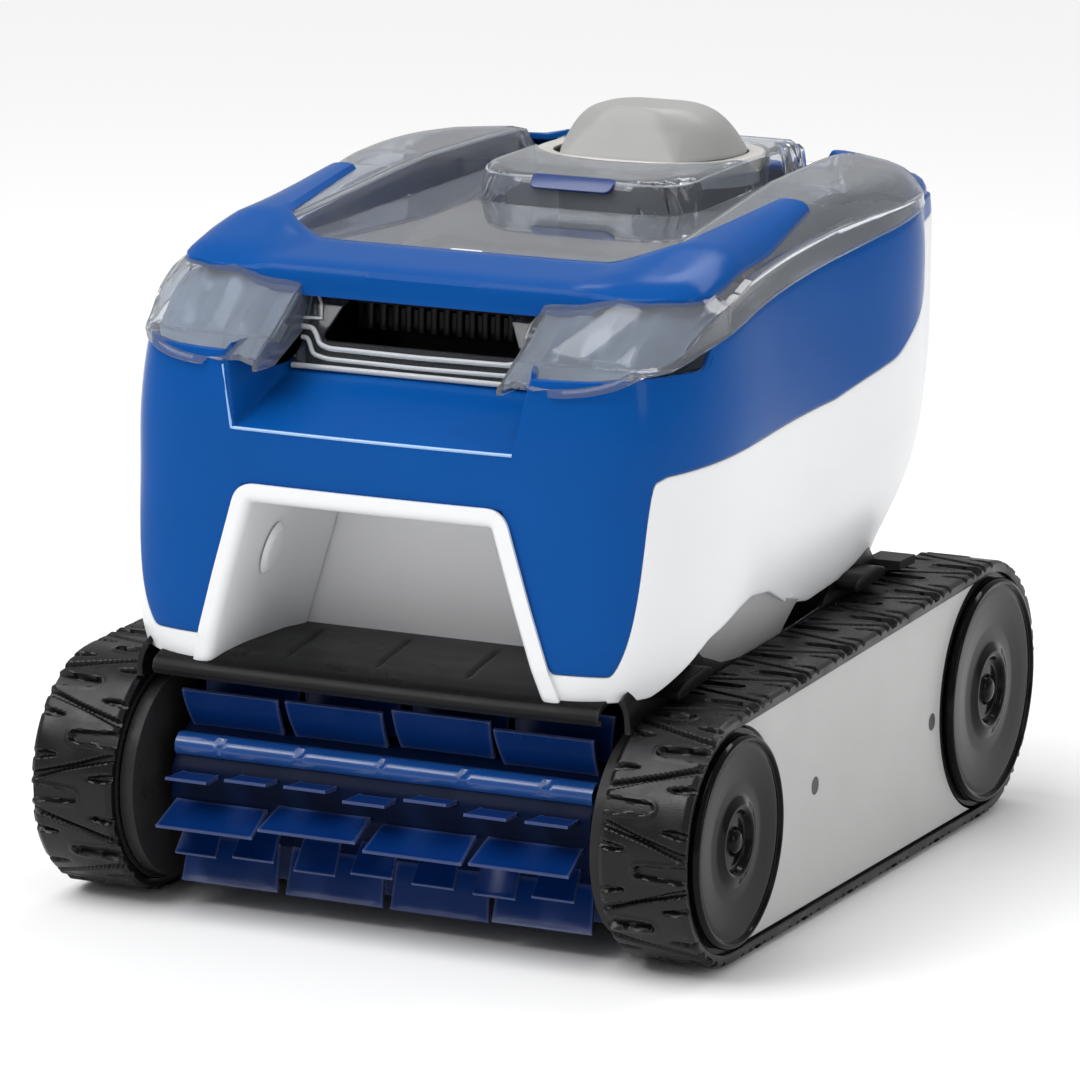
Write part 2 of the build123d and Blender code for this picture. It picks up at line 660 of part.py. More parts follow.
def pocket_back():
    """Light-grey back wall of the front pocket."""
    wall = along_y(opening_outline(0), POCKET_BACK, POCKET_BACK + 3)
    return wall - block(-150, 150, -230, 0, 60, APRON_TOP + 0.3)


def arch_housings():
    """Rounded grey housings that fill the arches in the shell's sides."""
    dome = rod_x(ARCH_R - 0.4, TUB_HALF + 0.4, 108, ARCH_Y, ARCH_Z)
    dome += rod_x(ARCH_R - 4, 108, 111, ARCH_Y, ARCH_Z)
    dome += rod_x(ARCH_R - 10, 111, 113, ARCH_Y, ARCH_Z)
    dome &= block(0, 200, -200, 100, SHELL_BOTTOM + WALL + 0.2, 200)
    return group([on_side(dome, side) for side in SIDES.values()])


def front_apron():
    """Black apron over the brush, with three slanted ribs."""
    apron = along_x(face(APRON), -TUB_HALF, TUB_HALF)
    slanted = face([(-1, -112), (1, -112), (1 + 14, -165), (-1 + 14, -165)])
    rib = along_z(slanted, APRON_TOP - 2, APRON_TOP + 1)
    for x in (-58, -10, 34):
        apron += Pos(x, 0, 0) * rib & block(-200, 200, -160, -106, APRON_TOP - 3, APRON_TOP + 1)
    return apron


# ------------------------------------------------------------------ lid
def lid():
    """Clear lid: top skin with the window recess, the hole for the hood and the hinge knuckle."""
    cover = (BODY - CORE) & lid_room(LID_PLAN, 0)
    hole = along_z(Pos(0, PUMP_Y) * Ellipse(HOOD_X + 4, HOOD_Y + 4), 250, 350)
    cover -= hole
    cover -= along_y(face(GRIP_HOLE), -180, -100)
    knuckle = rod_x(KNUCKLE_R, -KNUCKLE_HALF, KNUCKLE_HALF, HINGE_Y, HINGE_Z)
    web = block(-KNUCKLE_HALF, KNUCKLE_HALF, 144, HINGE_Y, HINGE_Z, HINGE_Z + 4.5)
    pin_room = rod_x(HINGE_PIN_R + RUNNING, KNUCKLE_HALF - 12, KNUCKLE_HALF, HINGE_Y, HINGE_Z)
    for side in SIDES.values():
        knuckle -= on_side(pin_room, side)
        web -= on_side(pin_room, side)
    return (cover + (web - hole) + knuckle).solids().sort_by(SortBy.VOLUME)[-1]


def lid_handle():
    """Blue handle: a bar across the lid's front and an arm along each side."""
    layer = body(-HANDLE_THICK) - body(-0.05)
    plan = face([(-ARM_OUT, BAR_FRONT), (ARM_OUT, BAR_FRONT), (ARM_OUT, ARM_BACK), (ARM_IN + 14, ARM_BACK),
                 (ARM_IN, BAR_BACK), (-ARM_IN, BAR_BACK), (-ARM_IN - 14, ARM_BACK), (-ARM_OUT, ARM_BACK)])
    bar = layer & along_z(plan, 262.5, 400) & above([(-230, 262), (-84, 266), (0, 283), (230, 300)])
    return bar.solids().sort_by(SortBy.VOLUME)[-1]


def lid_badge():
    """Blank oval badge in front of the hood."""
    plate = along_z(Pos(0, 34) * SlotOverall(62, 15), 280, 286.4)
    return plate & above([(-230, 266.7), (230, 295.9)])


def grip_tray():
    """Black tray behind the grip opening, open to the front."""
    tray = block(-50, 50, -131, -96, 237, 264) - block(-47, 47, -131, -99, 240, 261)
    return (tray & CORE).solids().sort_by(SortBy.VOLUME)[-1]


def latch_lever():
    """Scalloped latch lever that hangs from its pin inside the grip tray."""
    half = LATCH_HALF
    pitch = 6.0
    lever = block(-half, half, LATCH_Y - 1.2, LATCH_Y + 1.2, LATCH_Z - 12, LATCH_Z)
    for index in range(LATCH_TEETH):
        x = pitch * (index - (LATCH_TEETH - 1) / 2)
        lever += rod_z(1.9, LATCH_Z - 12, LATCH_Z - 1, x, LATCH_Y - 1.2)
    lever += rod_x(2.8, -half, half, LATCH_Y, LATCH_Z)
    return lever - rod_x(LATCH_PIN_R + RUNNING, -half, half, LATCH_Y, LATCH_Z)


def latch_pin():
    """Steel pin of the latch lever."""
    return rod_x(LATCH_PIN_R, -47, 47, LATCH_Y, LATCH_Z)


def latch_spring():
    """Return spring of the latch lever, coiled on the pin's free end."""
    coil = Helix(pitch=0.9, height=2.7, radius=2.2)
    start = Plane(coil @ 0, z_dir=coil % 0)
    wire = sweep(start * Circle(0.3), path=coil)
    return Pos(43.2, LATCH_Y, LATCH_Z) * Rot(0, 90, 0) * wire


# ------------------------------------------------------------------ inside the body
def bottom_tub():
    """Black tub between the tracks, with the suction mouth in its floor."""
    tub = block(-TUB_HALF, TUB_HALF, TUB_FRONT, TUB_BACK, TUB_LOW, SHELL_BOTTOM)
    stern = along_x(face([(TUB_BACK - 50, 0), (TUB_BACK + 20, 70), (TUB_BACK + 20, 0)]), -200, 200)
    inner = block(-TUB_HALF + 3, TUB_HALF - 3, TUB_FRONT + 3, TUB_BACK - 3, TUB_LOW + 3, SHELL_BOTTOM)
    inner -= Pos(0, -4.5, 0) * stern
    x0, x1, y0, y1 = MOUTH
    tub = tub - stern - inner - block(x0, x1, y0, y1, 0, 40)
    for side in SIDES.values():
        tub -= on_side(rod_x(PINION_SHAFT_R + 0.5, TUB_HALF - 5, TUB_HALF, PINION_Y, PINION_Z), side)
        for y, z in FRAME_BOLTS:
            tub -= on_side(rod_x(FRAME_BOLT_R, TUB_HALF - 5, TUB_HALF, y, z), side)
    return tub


def mouth_lip():
    """Rubber lip round the suction mouth, below the tub."""
    x0, x1, y0, y1 = MOUTH
    return block(x0 - 4, x1 + 4, y0 - 4, y1 + 4, 9, TUB_LOW) - block(x0, x1, y0, y1, 0, TUB_LOW)


def suction_duct():
    """Duct from the mouth up to the filter basket."""
    x0, x1, y0, y1 = MOUTH
    duct = block(x0, x1, y0, y1, TUB_LOW, DUCT_TOP)
    return duct - block(x0 + 2.5, x1 - 2.5, y0 + 2.5, y1 - 2.5, TUB_LOW, DUCT_TOP)


def inlet_flap():
    """Flap that keeps debris in when the pump stops; it turns about a pin at the back."""
    x0, x1, y0, y1 = MOUTH
    flap = block(x0 + 3, x1 - 3, y0 + 3, FLAP_Y, DUCT_TOP + 1, DUCT_TOP + 2.6)
    flap += rod_x(2.9, x0 + 3, x1 - 3, FLAP_Y, FLAP_Z)
    return flap - rod_x(FLAP_PIN_R + RUNNING, x0 + 3, x1 - 3, FLAP_Y, FLAP_Z)


def flap_pin():
    """Steel pin of the inlet flap, held in the basket's floor."""
    return rod_x(FLAP_PIN_R, MOUTH[0] - 3, MOUTH[1] + 3, FLAP_Y, FLAP_Z)


def basket_frame():
    """Filter basket frame: floor with the inlet, four posts, a middle band and a top ring."""
    x0, x1, y0, y1 = BASKET
    mx0, mx1, my0, my1 = MOUTH
    frame = block(x0, x1, y0, y1, BASKET_LOW, BASKET_LOW + 3)
    frame += block(mx0 - 6, mx1 + 6, my0 - 6, my1 + 6, DUCT_TOP, BASKET_LOW)
    frame -= block(mx0, mx1, my0, my1, DUCT_TOP, BASKET_LOW + 3)
    for x in (x0, x1 - 5):
        for y in (y0, y1 - 5):
            frame += block(x, x + 5, y, y + 5, BASKET_LOW, BASKET_TOP)
    for low, high in ((BASKET_TOP - 8, BASKET_TOP), BASKET_MIDDLE):
        frame += block(x0, x1, y0, y1, low, high) - block(x0 + 5, x1 - 5, y0 + 5, y1 - 5, low, high)
    for side in (-1, 1):
        frame -= on_side(rod_x(FLAP_PIN_R, MOUTH[1], MOUTH[1] + 3, FLAP_Y, FLAP_Z), side)
    return frame


def basket_mesh():
    """Mesh walls of the basket, as one thin sheet on each side."""
    x0, x1, y0, y1 = BASKET
    sheets = []
    for low, high in ((BASKET_LOW + 3, BASKET_MIDDLE[0]), (BASKET_MIDDLE[1], BASKET_TOP - 8)):
        outer = block(x0 + 5, x1 - 5, y0 + 1.5, y1 - 1.5, low, high)
        sheets.append(outer - block(x0 + 5, x1 - 5, y0 + 2.5, y1 - 2.5, low, high))
        outer = block(x0 + 1.5, x1 - 1.5, y0 + 5, y1 - 5, low, high)
        sheets.append(outer - block(x0 + 2.5, x1 - 2.5, y0 + 5, y1 - 5, low, high))
    return group(sheets)


def basket_handle():
    """Bail handle that lies across the top of the basket."""
    y0, y1 = BAIL_Y
    bail = block(-BAIL_HALF, BAIL_HALF, y0, y1, BASKET_TOP, BASKET_TOP + 6)
    bail -= block(-BAIL_HALF + 6, BAIL_HALF - 6, y0, y1, BASKET_TOP, BASKET_TOP + 3)
    return bail + block(BASKET[0] + 5, BASKET[1] - 5, y0, y1, BASKET_TOP - 3, BASKET_TOP)


def basket_seal():
    """Rubber ring on top of the basket."""
    x0, x1, y0, y1 = BASKET
    ring = block(x0, x1, y0, y1, BASKET_TOP, BASKET_TOP + 3)
    return ring - block(x0 + 5, x1 - 5, y0 + 5, y1 - 5, BASKET_TOP, BASKET_TOP + 3)


def motor_block():
    """Sealed block with the pump motor above and the two drive motors below."""
    drive = block(-80, 80, 84, 140, 40, 104)
    tower = rod_z(32, 104, MOTOR_TOP, 0, PUMP_Y)
    sealed = drive + tower - rod_z(SHAFT_R + RUNNING, MOTOR_TOP - 24, MOTOR_TOP, 0, PUMP_Y)
    for side in SIDES.values():
        sealed -= on_side(rod_x(PINION_SHAFT_R + RUNNING, 69.5, 80, PINION_Y, PINION_Z), side)
    return sealed


def pump_housing():
    """Tube round the impeller, on four ribs that stand on the motor."""
    tube = rod_z(PUMP_R + 3, 226, HOOD_BASE - 2, 0, PUMP_Y) - rod_z(PUMP_R, 226, HOOD_BASE - 2, 0, PUMP_Y)
    for index in range(4):
        rib = block(30, PUMP_R + 3, -1.5, 1.5, 190, 226) - rod_z(32, 180, 230, 0, 0)
        rib += block(PUMP_R, PUMP_R + 3, -1.5, 1.5, 226, 240)
        tube += Pos(0, PUMP_Y, 0) * Rot(0, 0, 45 + 90 * index) * rib
    return tube.solids().sort_by(SortBy.VOLUME)[-1]


def impeller():
    """Three-bladed impeller with its hub."""
    hub = rod_z(9, IMPELLER_TOP - 20, IMPELLER_TOP, 0, PUMP_Y)
    for index in range(3):
        blade = Pos(21, 0, IMPELLER_TOP - 10) * Rot(35, 0, 0) * Box(28, 20, 2)
        hub += Pos(0, PUMP_Y, 0) * Rot(0, 0, 120 * index) * blade
    return hub - rod_z(SHAFT_R, IMPELLER_TOP - 20, IMPELLER_TOP - 4, 0, PUMP_Y)


def impeller_shaft():
    """Steel shaft from the motor to the impeller."""
    return rod_z(SHAFT_R, MOTOR_TOP - 20, IMPELLER_TOP - 4, 0, PUMP_Y)


def outlet_ring():
    """Pale rim round the foot of the hood."""
    outer = along_z(Pos(0, PUMP_Y) * Ellipse(HOOD_X + 2.5, HOOD_Y + 2.5), HOOD_BASE - 2, HOOD_BASE + 3.5)
    return outer - along_z(Pos(0, PUMP_Y) * Ellipse(HOOD_X - 7, HOOD_Y - 7), HOOD_BASE - 2, HOOD_BASE + 3.5)


def outlet_grille():
    """Finger guard over the pump: a ring with cross bars, inside the rim."""
    low, high = HOOD_BASE - 1, HOOD_BASE + 1
    inside = along_z(Pos(0, PUMP_Y) * Ellipse(HOOD_X - 7.1, HOOD_Y - 7.1), low, high)
    grille = inside - along_z(Pos(0, PUMP_Y) * Ellipse(HOOD_X - 10, HOOD_Y - 10), low, high)
    for index in range(-2, 3):
        grille += inside & block(index * 14 - 1, index * 14 + 1, 0, 200, low, high)
    return grille


def outlet_hood():
    """Grey hood over the outlet, open to the back."""
    def dome(inset):
        foot = make_face(Ellipse(HOOD_X - inset, HOOD_Y - inset).wire())
        low = Pos(0, PUMP_Y, HOOD_BASE + 3.5) * foot
        shoulder = Pos(0, PUMP_Y + 3, HOOD_BASE + 24) * Ellipse(HOOD_X - 10 - inset, HOOD_Y - 9 - inset)
        top = Pos(0, PUMP_Y + 5, HOOD_TOP - inset) * Ellipse(HOOD_X - 22 - inset, HOOD_Y - 20 - inset)
        return loft([low, shoulder, top])
    hood = dome(0) - dome(2.5)
    low, high = HOOD_BASE + 7, HOOD_TOP + 5
    outline = [(PUMP_Y + 60, low), (PUMP_Y + 16, low), (PUMP_Y + 26, high), (PUMP_Y + 60, high)]
    return hood - along_x(face(outline), -60, 60)


def cable_gland():
    """Gland in the stern wall that the floating cable is fed through."""
    gland = along_y(Pos(0, GLAND_Z) * Circle(9), STERN_Y, STERN_Y + 3.0)
    gland += along_y(Pos(0, GLAND_Z) * Circle(GLAND_NECK_R), STERN_Y - 14, STERN_Y)
    return gland - along_y(Pos(0, GLAND_Z) * Circle(CABLE_R), STERN_Y - 14, STERN_Y + 3.0)


def gland_nut():
    """Nut that clamps the gland from inside the shell."""
    nut = along_y(Pos(0, GLAND_Z) * RegularPolygon(10, 6), STERN_Y - 10, STERN_Y - 5)
    return nut - along_y(Pos(0, GLAND_Z) * Circle(GLAND_NECK_R), STERN_Y - 10, STERN_Y - 5)


# ------------------------------------------------------------------ write the pieces
def main():
    """Builds every piece and writes it."""
    save("upper_shell", upper_shell())
    save("lower_shell", lower_shell())
    save("front_pocket", front_pocket())
    save("pocket_back", pocket_back())
    save("arch_housings", arch_housings())
    save("front_apron", front_apron())
    save("lid", lid())
    save("lid_handle", lid_handle())
    save("lid_badge", lid_badge())
    save("grip_tray", grip_tray())
    save("latch_lever", latch_lever())
    save("latch_pin", latch_pin())
    save("latch_spring", latch_spring())
    save("hinge_pins", hinge_pins())
    save("bottom_tub", bottom_tub())
    save("mouth_lip", mouth_lip())
    save("suction_duct", suction_duct())
    save("inlet_flap", inlet_flap())
    save("flap_pin", flap_pin())
    save("basket_frame", basket_frame())
    save("basket_mesh", basket_mesh())
    save("basket_handle", basket_handle())
    save("basket_seal", basket_seal())
    save("motor_block", motor_block())
    save("pump_housing", pump_housing())
    save("impeller", impeller())
    save("impeller_shaft", impeller_shaft())
    save("outlet_ring", outlet_ring())
    save("outlet_grille", outlet_grille())
    save("outlet_hood", outlet_hood())
    save("cable_gland", cable_gland())
    save("gland_nut", gland_nut())
    save("frame_bolts", frame_bolts())
    save("plate_screws", group([screw for side in SIDES.values() for screw in plate_screws(side)]))
    save("brush_core", brush_core())
    save("brush_sleeve", brush_sleeve())
    save("brush_cap_right", brush_cap(1))
    save("brush_cap_left", brush_cap(-1))
    save("brush_bush", brush_bush())
    save("front_wheel_right", front_wheel())
    save("front_wheel_left", front_wheel_left())
    save("rear_axles", group([on_side(rear_axle(), side) for side in SIDES.values()]))
    mirrored = {
        "track_belt": track_belt(),
        "track_frame": track_frame(),
        "side_plate": side_plate(),
        "rear_wheel": rear_wheel(),
        "ring_gear": ring_gear(),
        "rear_bush": rear_bush(),
        "drive_pinion": drive_pinion(),
        "front_disc": screwed_disc(FRONT_BELT_R, FRONT_AXLE_Y, FRONT_AXLE_Z),
        "rear_disc": screwed_disc(REAR_BELT_R, REAR_AXLE_Y, REAR_AXLE_Z),
    }
    for name, part in mirrored.items():
        for hand, side in SIDES.items():
            save(f"{name}_{hand}", on_side(part, side))


main()
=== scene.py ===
"""Looks of the robotic pool cleaner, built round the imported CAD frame.

Shapes are worked out in millimetres, in the frame's axes (X across, -Y front, Z up),
and turned into metres where a mesh is made.
"""
import math

import bmesh
import bpy
import numpy as np
from mathutils import Matrix, Vector


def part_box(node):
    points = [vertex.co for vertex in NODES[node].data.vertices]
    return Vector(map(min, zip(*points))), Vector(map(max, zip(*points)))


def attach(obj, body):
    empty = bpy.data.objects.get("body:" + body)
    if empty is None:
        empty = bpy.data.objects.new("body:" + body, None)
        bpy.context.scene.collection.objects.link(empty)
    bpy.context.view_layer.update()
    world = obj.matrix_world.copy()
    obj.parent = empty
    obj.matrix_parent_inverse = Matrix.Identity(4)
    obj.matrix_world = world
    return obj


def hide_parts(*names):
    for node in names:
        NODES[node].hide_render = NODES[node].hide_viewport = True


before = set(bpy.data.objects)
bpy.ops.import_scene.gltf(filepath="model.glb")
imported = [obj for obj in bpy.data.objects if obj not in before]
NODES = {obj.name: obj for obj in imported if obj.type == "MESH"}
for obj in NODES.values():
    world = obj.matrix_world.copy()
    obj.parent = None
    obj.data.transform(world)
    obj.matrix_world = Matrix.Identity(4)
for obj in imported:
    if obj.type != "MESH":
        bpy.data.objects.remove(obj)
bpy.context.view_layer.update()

MM = 0.001


# --- places read from the frame
def span(node):
    """Lowest and highest corners of a CAD node, in millimetres."""
    low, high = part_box(node)
    return np.array(low) / MM, np.array(high) / MM


def centre(node):
    """Middle of a CAD node's box, in millimetres."""
    low, high = span(node)
    return (low + high) / 2


belt_low, belt_high = span("track_belt_right")
FRONT_Y, FRONT_Z = centre("front_disc_right")[1:]
REAR_Y, REAR_Z = centre("rear_disc_right")[1:]
BELT_IN, BELT_OUT = belt_low[0], belt_high[0]
BAND, LUG = 2.6, 3.0
FRONT_R, REAR_R = FRONT_Z - BAND - LUG, REAR_Z - BAND - LUG
HOOD_Y = centre("outlet_hood")[1]


# --- small mathematics
def smooth(edge0, edge1, value):
    """0 below edge0, 1 above edge1, with a soft ramp between."""
    t = np.clip((value - edge0) / (edge1 - edge0), 0, 1)
    return t * t * (3 - 2 * t)


def soft_max(a, b, k):
    """The larger of a and b, rounded over a width of k."""
    h = np.clip(0.5 + (a - b) / (2 * k), 0, 1)
    return b * (1 - h) + a * h + k * h * (1 - h)


def line(points, value):
    """Piecewise straight function through (x, y) points."""
    xs, ys = zip(*points)
    return np.interp(value, xs, ys)


def spline_bend(knots, values, closed):
    """Second derivatives of the smooth cubic through values at knots."""
    count = len(knots)
    gaps = np.diff(knots)
    matrix = np.zeros((count, count))
    right = np.zeros_like(values, dtype=float)
    for i in range(1, count - 1):
        matrix[i, i - 1:i + 2] = gaps[i - 1] / 6, (gaps[i - 1] + gaps[i]) / 3, gaps[i] / 6
        right[i] = (values[i + 1] - values[i]) / gaps[i] - (values[i] - values[i - 1]) / gaps[i - 1]
    if closed:
        matrix[0, 0] = (gaps[-1] + gaps[0]) / 3
        matrix[0, 1], matrix[0, -2] = gaps[0] / 6, gaps[-1] / 6
        right[0] = (values[1] - values[0]) / gaps[0] - (values[0] - values[-2]) / gaps[-1]
        matrix[-1, 0], matrix[-1, -1] = 1, -1
    else:
        matrix[0, 0] = matrix[-1, -1] = 1
    flat = np.linalg.solve(matrix, right.reshape(count, -1))
    return flat.reshape(values.shape)


def spline_at(knots, values, bend, where, column=None):
    """The cubic at a position; with column, each column of values has its own position."""
    i = np.clip(np.searchsorted(knots, where) - 1, 0, len(knots) - 2)
    gap = (knots[i + 1] - knots[i])[..., None]
    a = ((knots[i + 1] - where)[..., None]) / gap
    b = 1 - a
    low, high = (i, i + 1) if column is None else ((i, column), (i + 1, column))
    flat = a * values[low] + b * values[high]
    return flat + ((a ** 3 - a) * bend[low] + (b ** 3 - b) * bend[high]) * gap ** 2 / 6


# --- mesh helpers
def placed(name, data):
    """A new object in the scene."""
    thing = bpy.data.objects.new(name, data)
    bpy.context.scene.collection.objects.link(thing)
    return thing


def made(name, shape, body, look, slot=None, sharp=40):
    """A piece from (points in millimetres, faces), shaded smooth, on its body; slot is not used."""
    points, faces = shape
    slot = slot or look
    mesh = bpy.data.meshes.new(name)
    mesh.from_pydata((np.asarray(points, float) * MM).tolist(), [], [list(map(int, f)) for f in faces])
    mesh.validate()
    piece = placed(name, mesh)
    work = bmesh.new()
    work.from_mesh(mesh)
    bmesh.ops.remove_doubles(work, verts=work.verts, dist=0.00001)
    bmesh.ops.recalc_face_normals(work, faces=work.faces)
    for f in work.faces:
        f.smooth = True
    for e in work.edges:
        if len(e.link_faces) == 2 and e.calc_face_angle(0) > math.radians(sharp):
            e.smooth = False
    work.to_mesh(mesh)
    work.free()
    mesh.materials.append(LOOKS[look])
    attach(piece, body)
    return piece


def xyz(x, y, z):
    """Points from their coordinates; single numbers are repeated."""
    return np.stack(np.broadcast_arrays(x, y, z), -1)


def grid_faces(rows, cols, closed, start=0):
    """Quads of a rows by cols grid of points."""
    r = np.arange(rows - 1)[:, None]
    c = np.arange(cols if closed else cols - 1)[None, :]
    nxt = (c + 1) % cols
    quads = np.stack([r * cols + c, r * cols + nxt, (r + 1) * cols + nxt, (r + 1) * cols + c], -1)
    return (quads.reshape(-1, 4) + start)


def grid_normals(grid, closed):
    """Unit normals of a grid of points."""
    down = np.gradient(grid, axis=0)
    if closed:
        across = np.roll(grid, -1, 1) - np.roll(grid, 1, 1)
    else:
        across = np.gradient(grid, axis=1)
    normal = np.cross(across, down)
    return normal / np.maximum(np.linalg.norm(normal, axis=-1, keepdims=True), 1e-9)


def unit(vectors):
    """Vectors scaled to length one."""
    return vectors / np.maximum(np.linalg.norm(vectors, axis=-1, keepdims=True), 1e-9)


def skin(rows, thick, closed, outward, roll=0.8):
    """A sheet with thickness from rows of points: (points, faces), with rounded lips on the end rows."""
    grid = np.array(rows, float)
    normal = grid_normals(grid, closed) * outward
    turns = np.radians([0, 30, 60, 90])

    def lip(edge, beside, edge_normal):
        into = unit(beside - edge)
        return [edge + into * roll * (1 - math.cos(a)) - edge_normal * roll * (1 - math.sin(a)) for a in turns]

    outer = np.concatenate([lip(grid[0], grid[1], normal[0]), grid[1:-1],
                            lip(grid[-1], grid[-2], normal[-1])[::-1]])
    inner = grid - normal * thick
    count, cols = outer.shape[:2]
    base = count * cols
    far, last = base - cols, base + (len(inner) - 1) * cols
    low = np.arange(cols if closed else cols - 1)
    high = (low + 1) % cols
    faces = grid_faces(count, cols, closed).tolist()
    faces += grid_faces(len(inner), cols, closed, base)[:, ::-1].tolist()
    faces += np.stack([low, base + low, base + high, high], -1).tolist()
    faces += np.stack([far + high, last + high, last + low, far + low], -1).tolist()
    if not closed:
        for col in (0, cols - 1):
            faces.append([*range(col, base, cols), *range(last + col, base - 1, -cols)])
    return np.concatenate([outer.reshape(-1, 3), inner.reshape(-1, 3)]), faces


def circle(count):
    """Angles round a full turn."""
    return np.linspace(0, 2 * math.pi, count, endpoint=False)


def tube(rings, ends=False):
    """A surface through closed rings of points, with or without end faces."""
    grid = np.array(rings, float)
    count, cols = grid.shape[:2]
    faces = grid_faces(count, cols, True).tolist()
    if ends:
        faces += [list(range(cols))[::-1], [(count - 1) * cols + i for i in range(cols)]]
    return grid.reshape(-1, 3), faces


def on_axle(x, radius, turn, y, z):
    """Points at a radius and angle about an axle along X."""
    return xyz(x, y + radius * np.cos(turn), z + radius * np.sin(turn))


def walked(path):
    """Distance walked along a path, at each of its points."""
    return np.concatenate([[0], np.cumsum(np.linalg.norm(np.diff(path, axis=0), axis=1))])


def evenly(path, count):
    """Points evenly spaced along a path."""
    path = np.array(path, float)
    walk = walked(path)
    place = np.linspace(0, walk[-1], count)
    return np.stack([np.interp(place, walk, column) for column in path.T], -1)


def rounded_profile(corners, radius, steps=4):
    """A polyline with each inner corner replaced by a short arc-like curve."""
    corners = [np.array(c, float) for c in corners]
    path = [corners[0]]
    for before, corner, after in zip(corners, corners[1:], corners[2:]):
        reach = min(radius, np.linalg.norm(corner - before) * 0.45, np.linalg.norm(after - corner) * 0.45)
        start = corner + unit(before - corner) * reach
        end = corner + unit(after - corner) * reach
        for k in range(steps + 1):
            t = k / steps
            path.append(start * (1 - t) ** 2 + corner * 2 * t * (1 - t) + end * t ** 2)
    path.append(corners[-1])
    return path


def slab(outline, depth, bevel, place):
    """A flat outline (u, v) with rounded rims, depth thick; place turns (u, v, w) into a point."""
    points, faces = tube([[(u, v, w) for u, v in outline] for w in (0, depth)], True)
    work = bmesh.new()
    corners = [work.verts.new(p) for p in points]
    for face in faces:
        work.faces.new([corners[i] for i in face])
    bmesh.ops.recalc_face_normals(work, faces=work.faces)
    rims = [e for e in work.edges if e.calc_face_angle(0) > 0.9
            and abs(e.verts[0].co.z - e.verts[1].co.z) < depth / 2]
    bmesh.ops.bevel(work, geom=rims, offset=bevel, segments=3, profile=0.6, affect="EDGES")
    points = [place(*v.co) for v in work.verts]
    work.verts.index_update()
    faces = [[v.index for v in f.verts] for f in work.faces]
    work.free()
    return points, faces


def joined(shapes):
    """Several (points, faces) shapes as one."""
    points, faces = [], []
    for more, more_faces in shapes:
        faces += [[i + len(points) for i in f] for f in more_faces]
        points += [tuple(p) for p in more]
    return points, faces


# --- materials
def nodes_of(name, **constants):
    """A new material with its node tree and main shader; constants are socket names with _ for spaces."""
    look = bpy.data.materials.new(name)
    look.use_nodes = True
    shader = look.node_tree.nodes["Principled BSDF"]
    for key, value in constants.items():
        shader.inputs[key.replace("_", " ")].default_value = value
    return look, look.node_tree, shader


def wire(tree, shader, colour, rough):
    """Joins a colour and a roughness to the shader."""
    tree.links.new(colour, shader.inputs["Base Color"])
    tree.links.new(rough, shader.inputs["Roughness"])


def worn_edge(tree, amount):
    """0 on faces, up to amount on sharp edges."""
    return ranged(tree, added(tree, "ShaderNodeNewGeometry").outputs["Pointiness"], 0, amount, 0.53, 0.62)


def added(tree, kind, **values):
    """A node with some of its inputs or settings given."""
    node = tree.nodes.new(kind)
    for key, value in values.items():
        if key in node.inputs:
            node.inputs[key].default_value = value
        else:
            setattr(node, key, value)
    return node


def noise(tree, scale, detail=3.0, stretch=(1, 1, 1)):
    """Noise over the piece's own coordinates."""
    place = added(tree, "ShaderNodeTexCoord")
    mapping = added(tree, "ShaderNodeMapping")
    mapping.inputs["Scale"].default_value = stretch
    texture = added(tree, "ShaderNodeTexNoise", Scale=scale, Detail=detail, Roughness=0.55)
    tree.links.new(place.outputs["Object"], mapping.inputs["Vector"])
    tree.links.new(mapping.outputs["Vector"], texture.inputs["Vector"])
    return texture.outputs["Fac"]


def ranged(tree, source, low, high, start=0.3, end=0.7):
    """A value carried from start..end to low..high."""
    node = added(tree, "ShaderNodeMapRange")
    tree.links.new(source, node.inputs["Value"])
    for key, value in (("From Min", start), ("From Max", end), ("To Min", low), ("To Max", high)):
        node.inputs[key].default_value = value
    return node.outputs["Result"]


def mixed(tree, factor, first, second):
    """A colour between two colours or colour outputs."""
    node = added(tree, "ShaderNodeMix", data_type="RGBA")
    tree.links.new(factor, node.inputs["Factor"])
    for socket, value in ((node.inputs[6], first), (node.inputs[7], second)):
        if isinstance(value, bpy.types.NodeSocket):
            tree.links.new(value, socket)
        else:
            socket.default_value = (*value, 1)
    return node.outputs[2]


def bump(tree, shader, height, strength, distance, below=None):
    """Surface relief from a height value, on top of any relief below it."""
    node = added(tree, "ShaderNodeBump", Strength=strength, Distance=distance)
    tree.links.new(height, node.inputs["Height"])
    if below is not None:
        tree.links.new(below, node.inputs["Normal"])
    tree.links.new(node.outputs["Normal"], shader.inputs["Normal"])
    return node.outputs["Normal"]


def shade(colour, factor):
    """A colour made lighter or darker."""
    return tuple(min(1.0, c * factor) for c in colour)


def moulded(name, colour, rough, grain=0.10, grain_scale=700, vary=0.12, wear=0.35, coat=0.0, specular=0.5,
            uneven=0.07):
    """Moulded plastic: cloudy colour variation, uneven gloss, fine texture and paler worn edges."""
    look, tree, shader = nodes_of(name, Specular_IOR_Level=specular, Coat_Weight=coat, Coat_Roughness=0.06)
    base = mixed(tree, ranged(tree, noise(tree, 14), 0, 1), shade(colour, 1 - vary), shade(colour, 1 + vary))
    worn = tuple(c * 0.6 + 0.4 * min(1, 0.25 + c) for c in colour)
    wire(tree, shader, mixed(tree, worn_edge(tree, wear), base, worn),
         ranged(tree, noise(tree, 45, 5), max(0.02, rough - uneven), rough + uneven, 0.2, 0.8))
    relief = bump(tree, shader, noise(tree, grain_scale, 2), grain, 0.0002)
    bump(tree, shader, noise(tree, 9, 1), 0.12, 0.0015, relief)
    return look


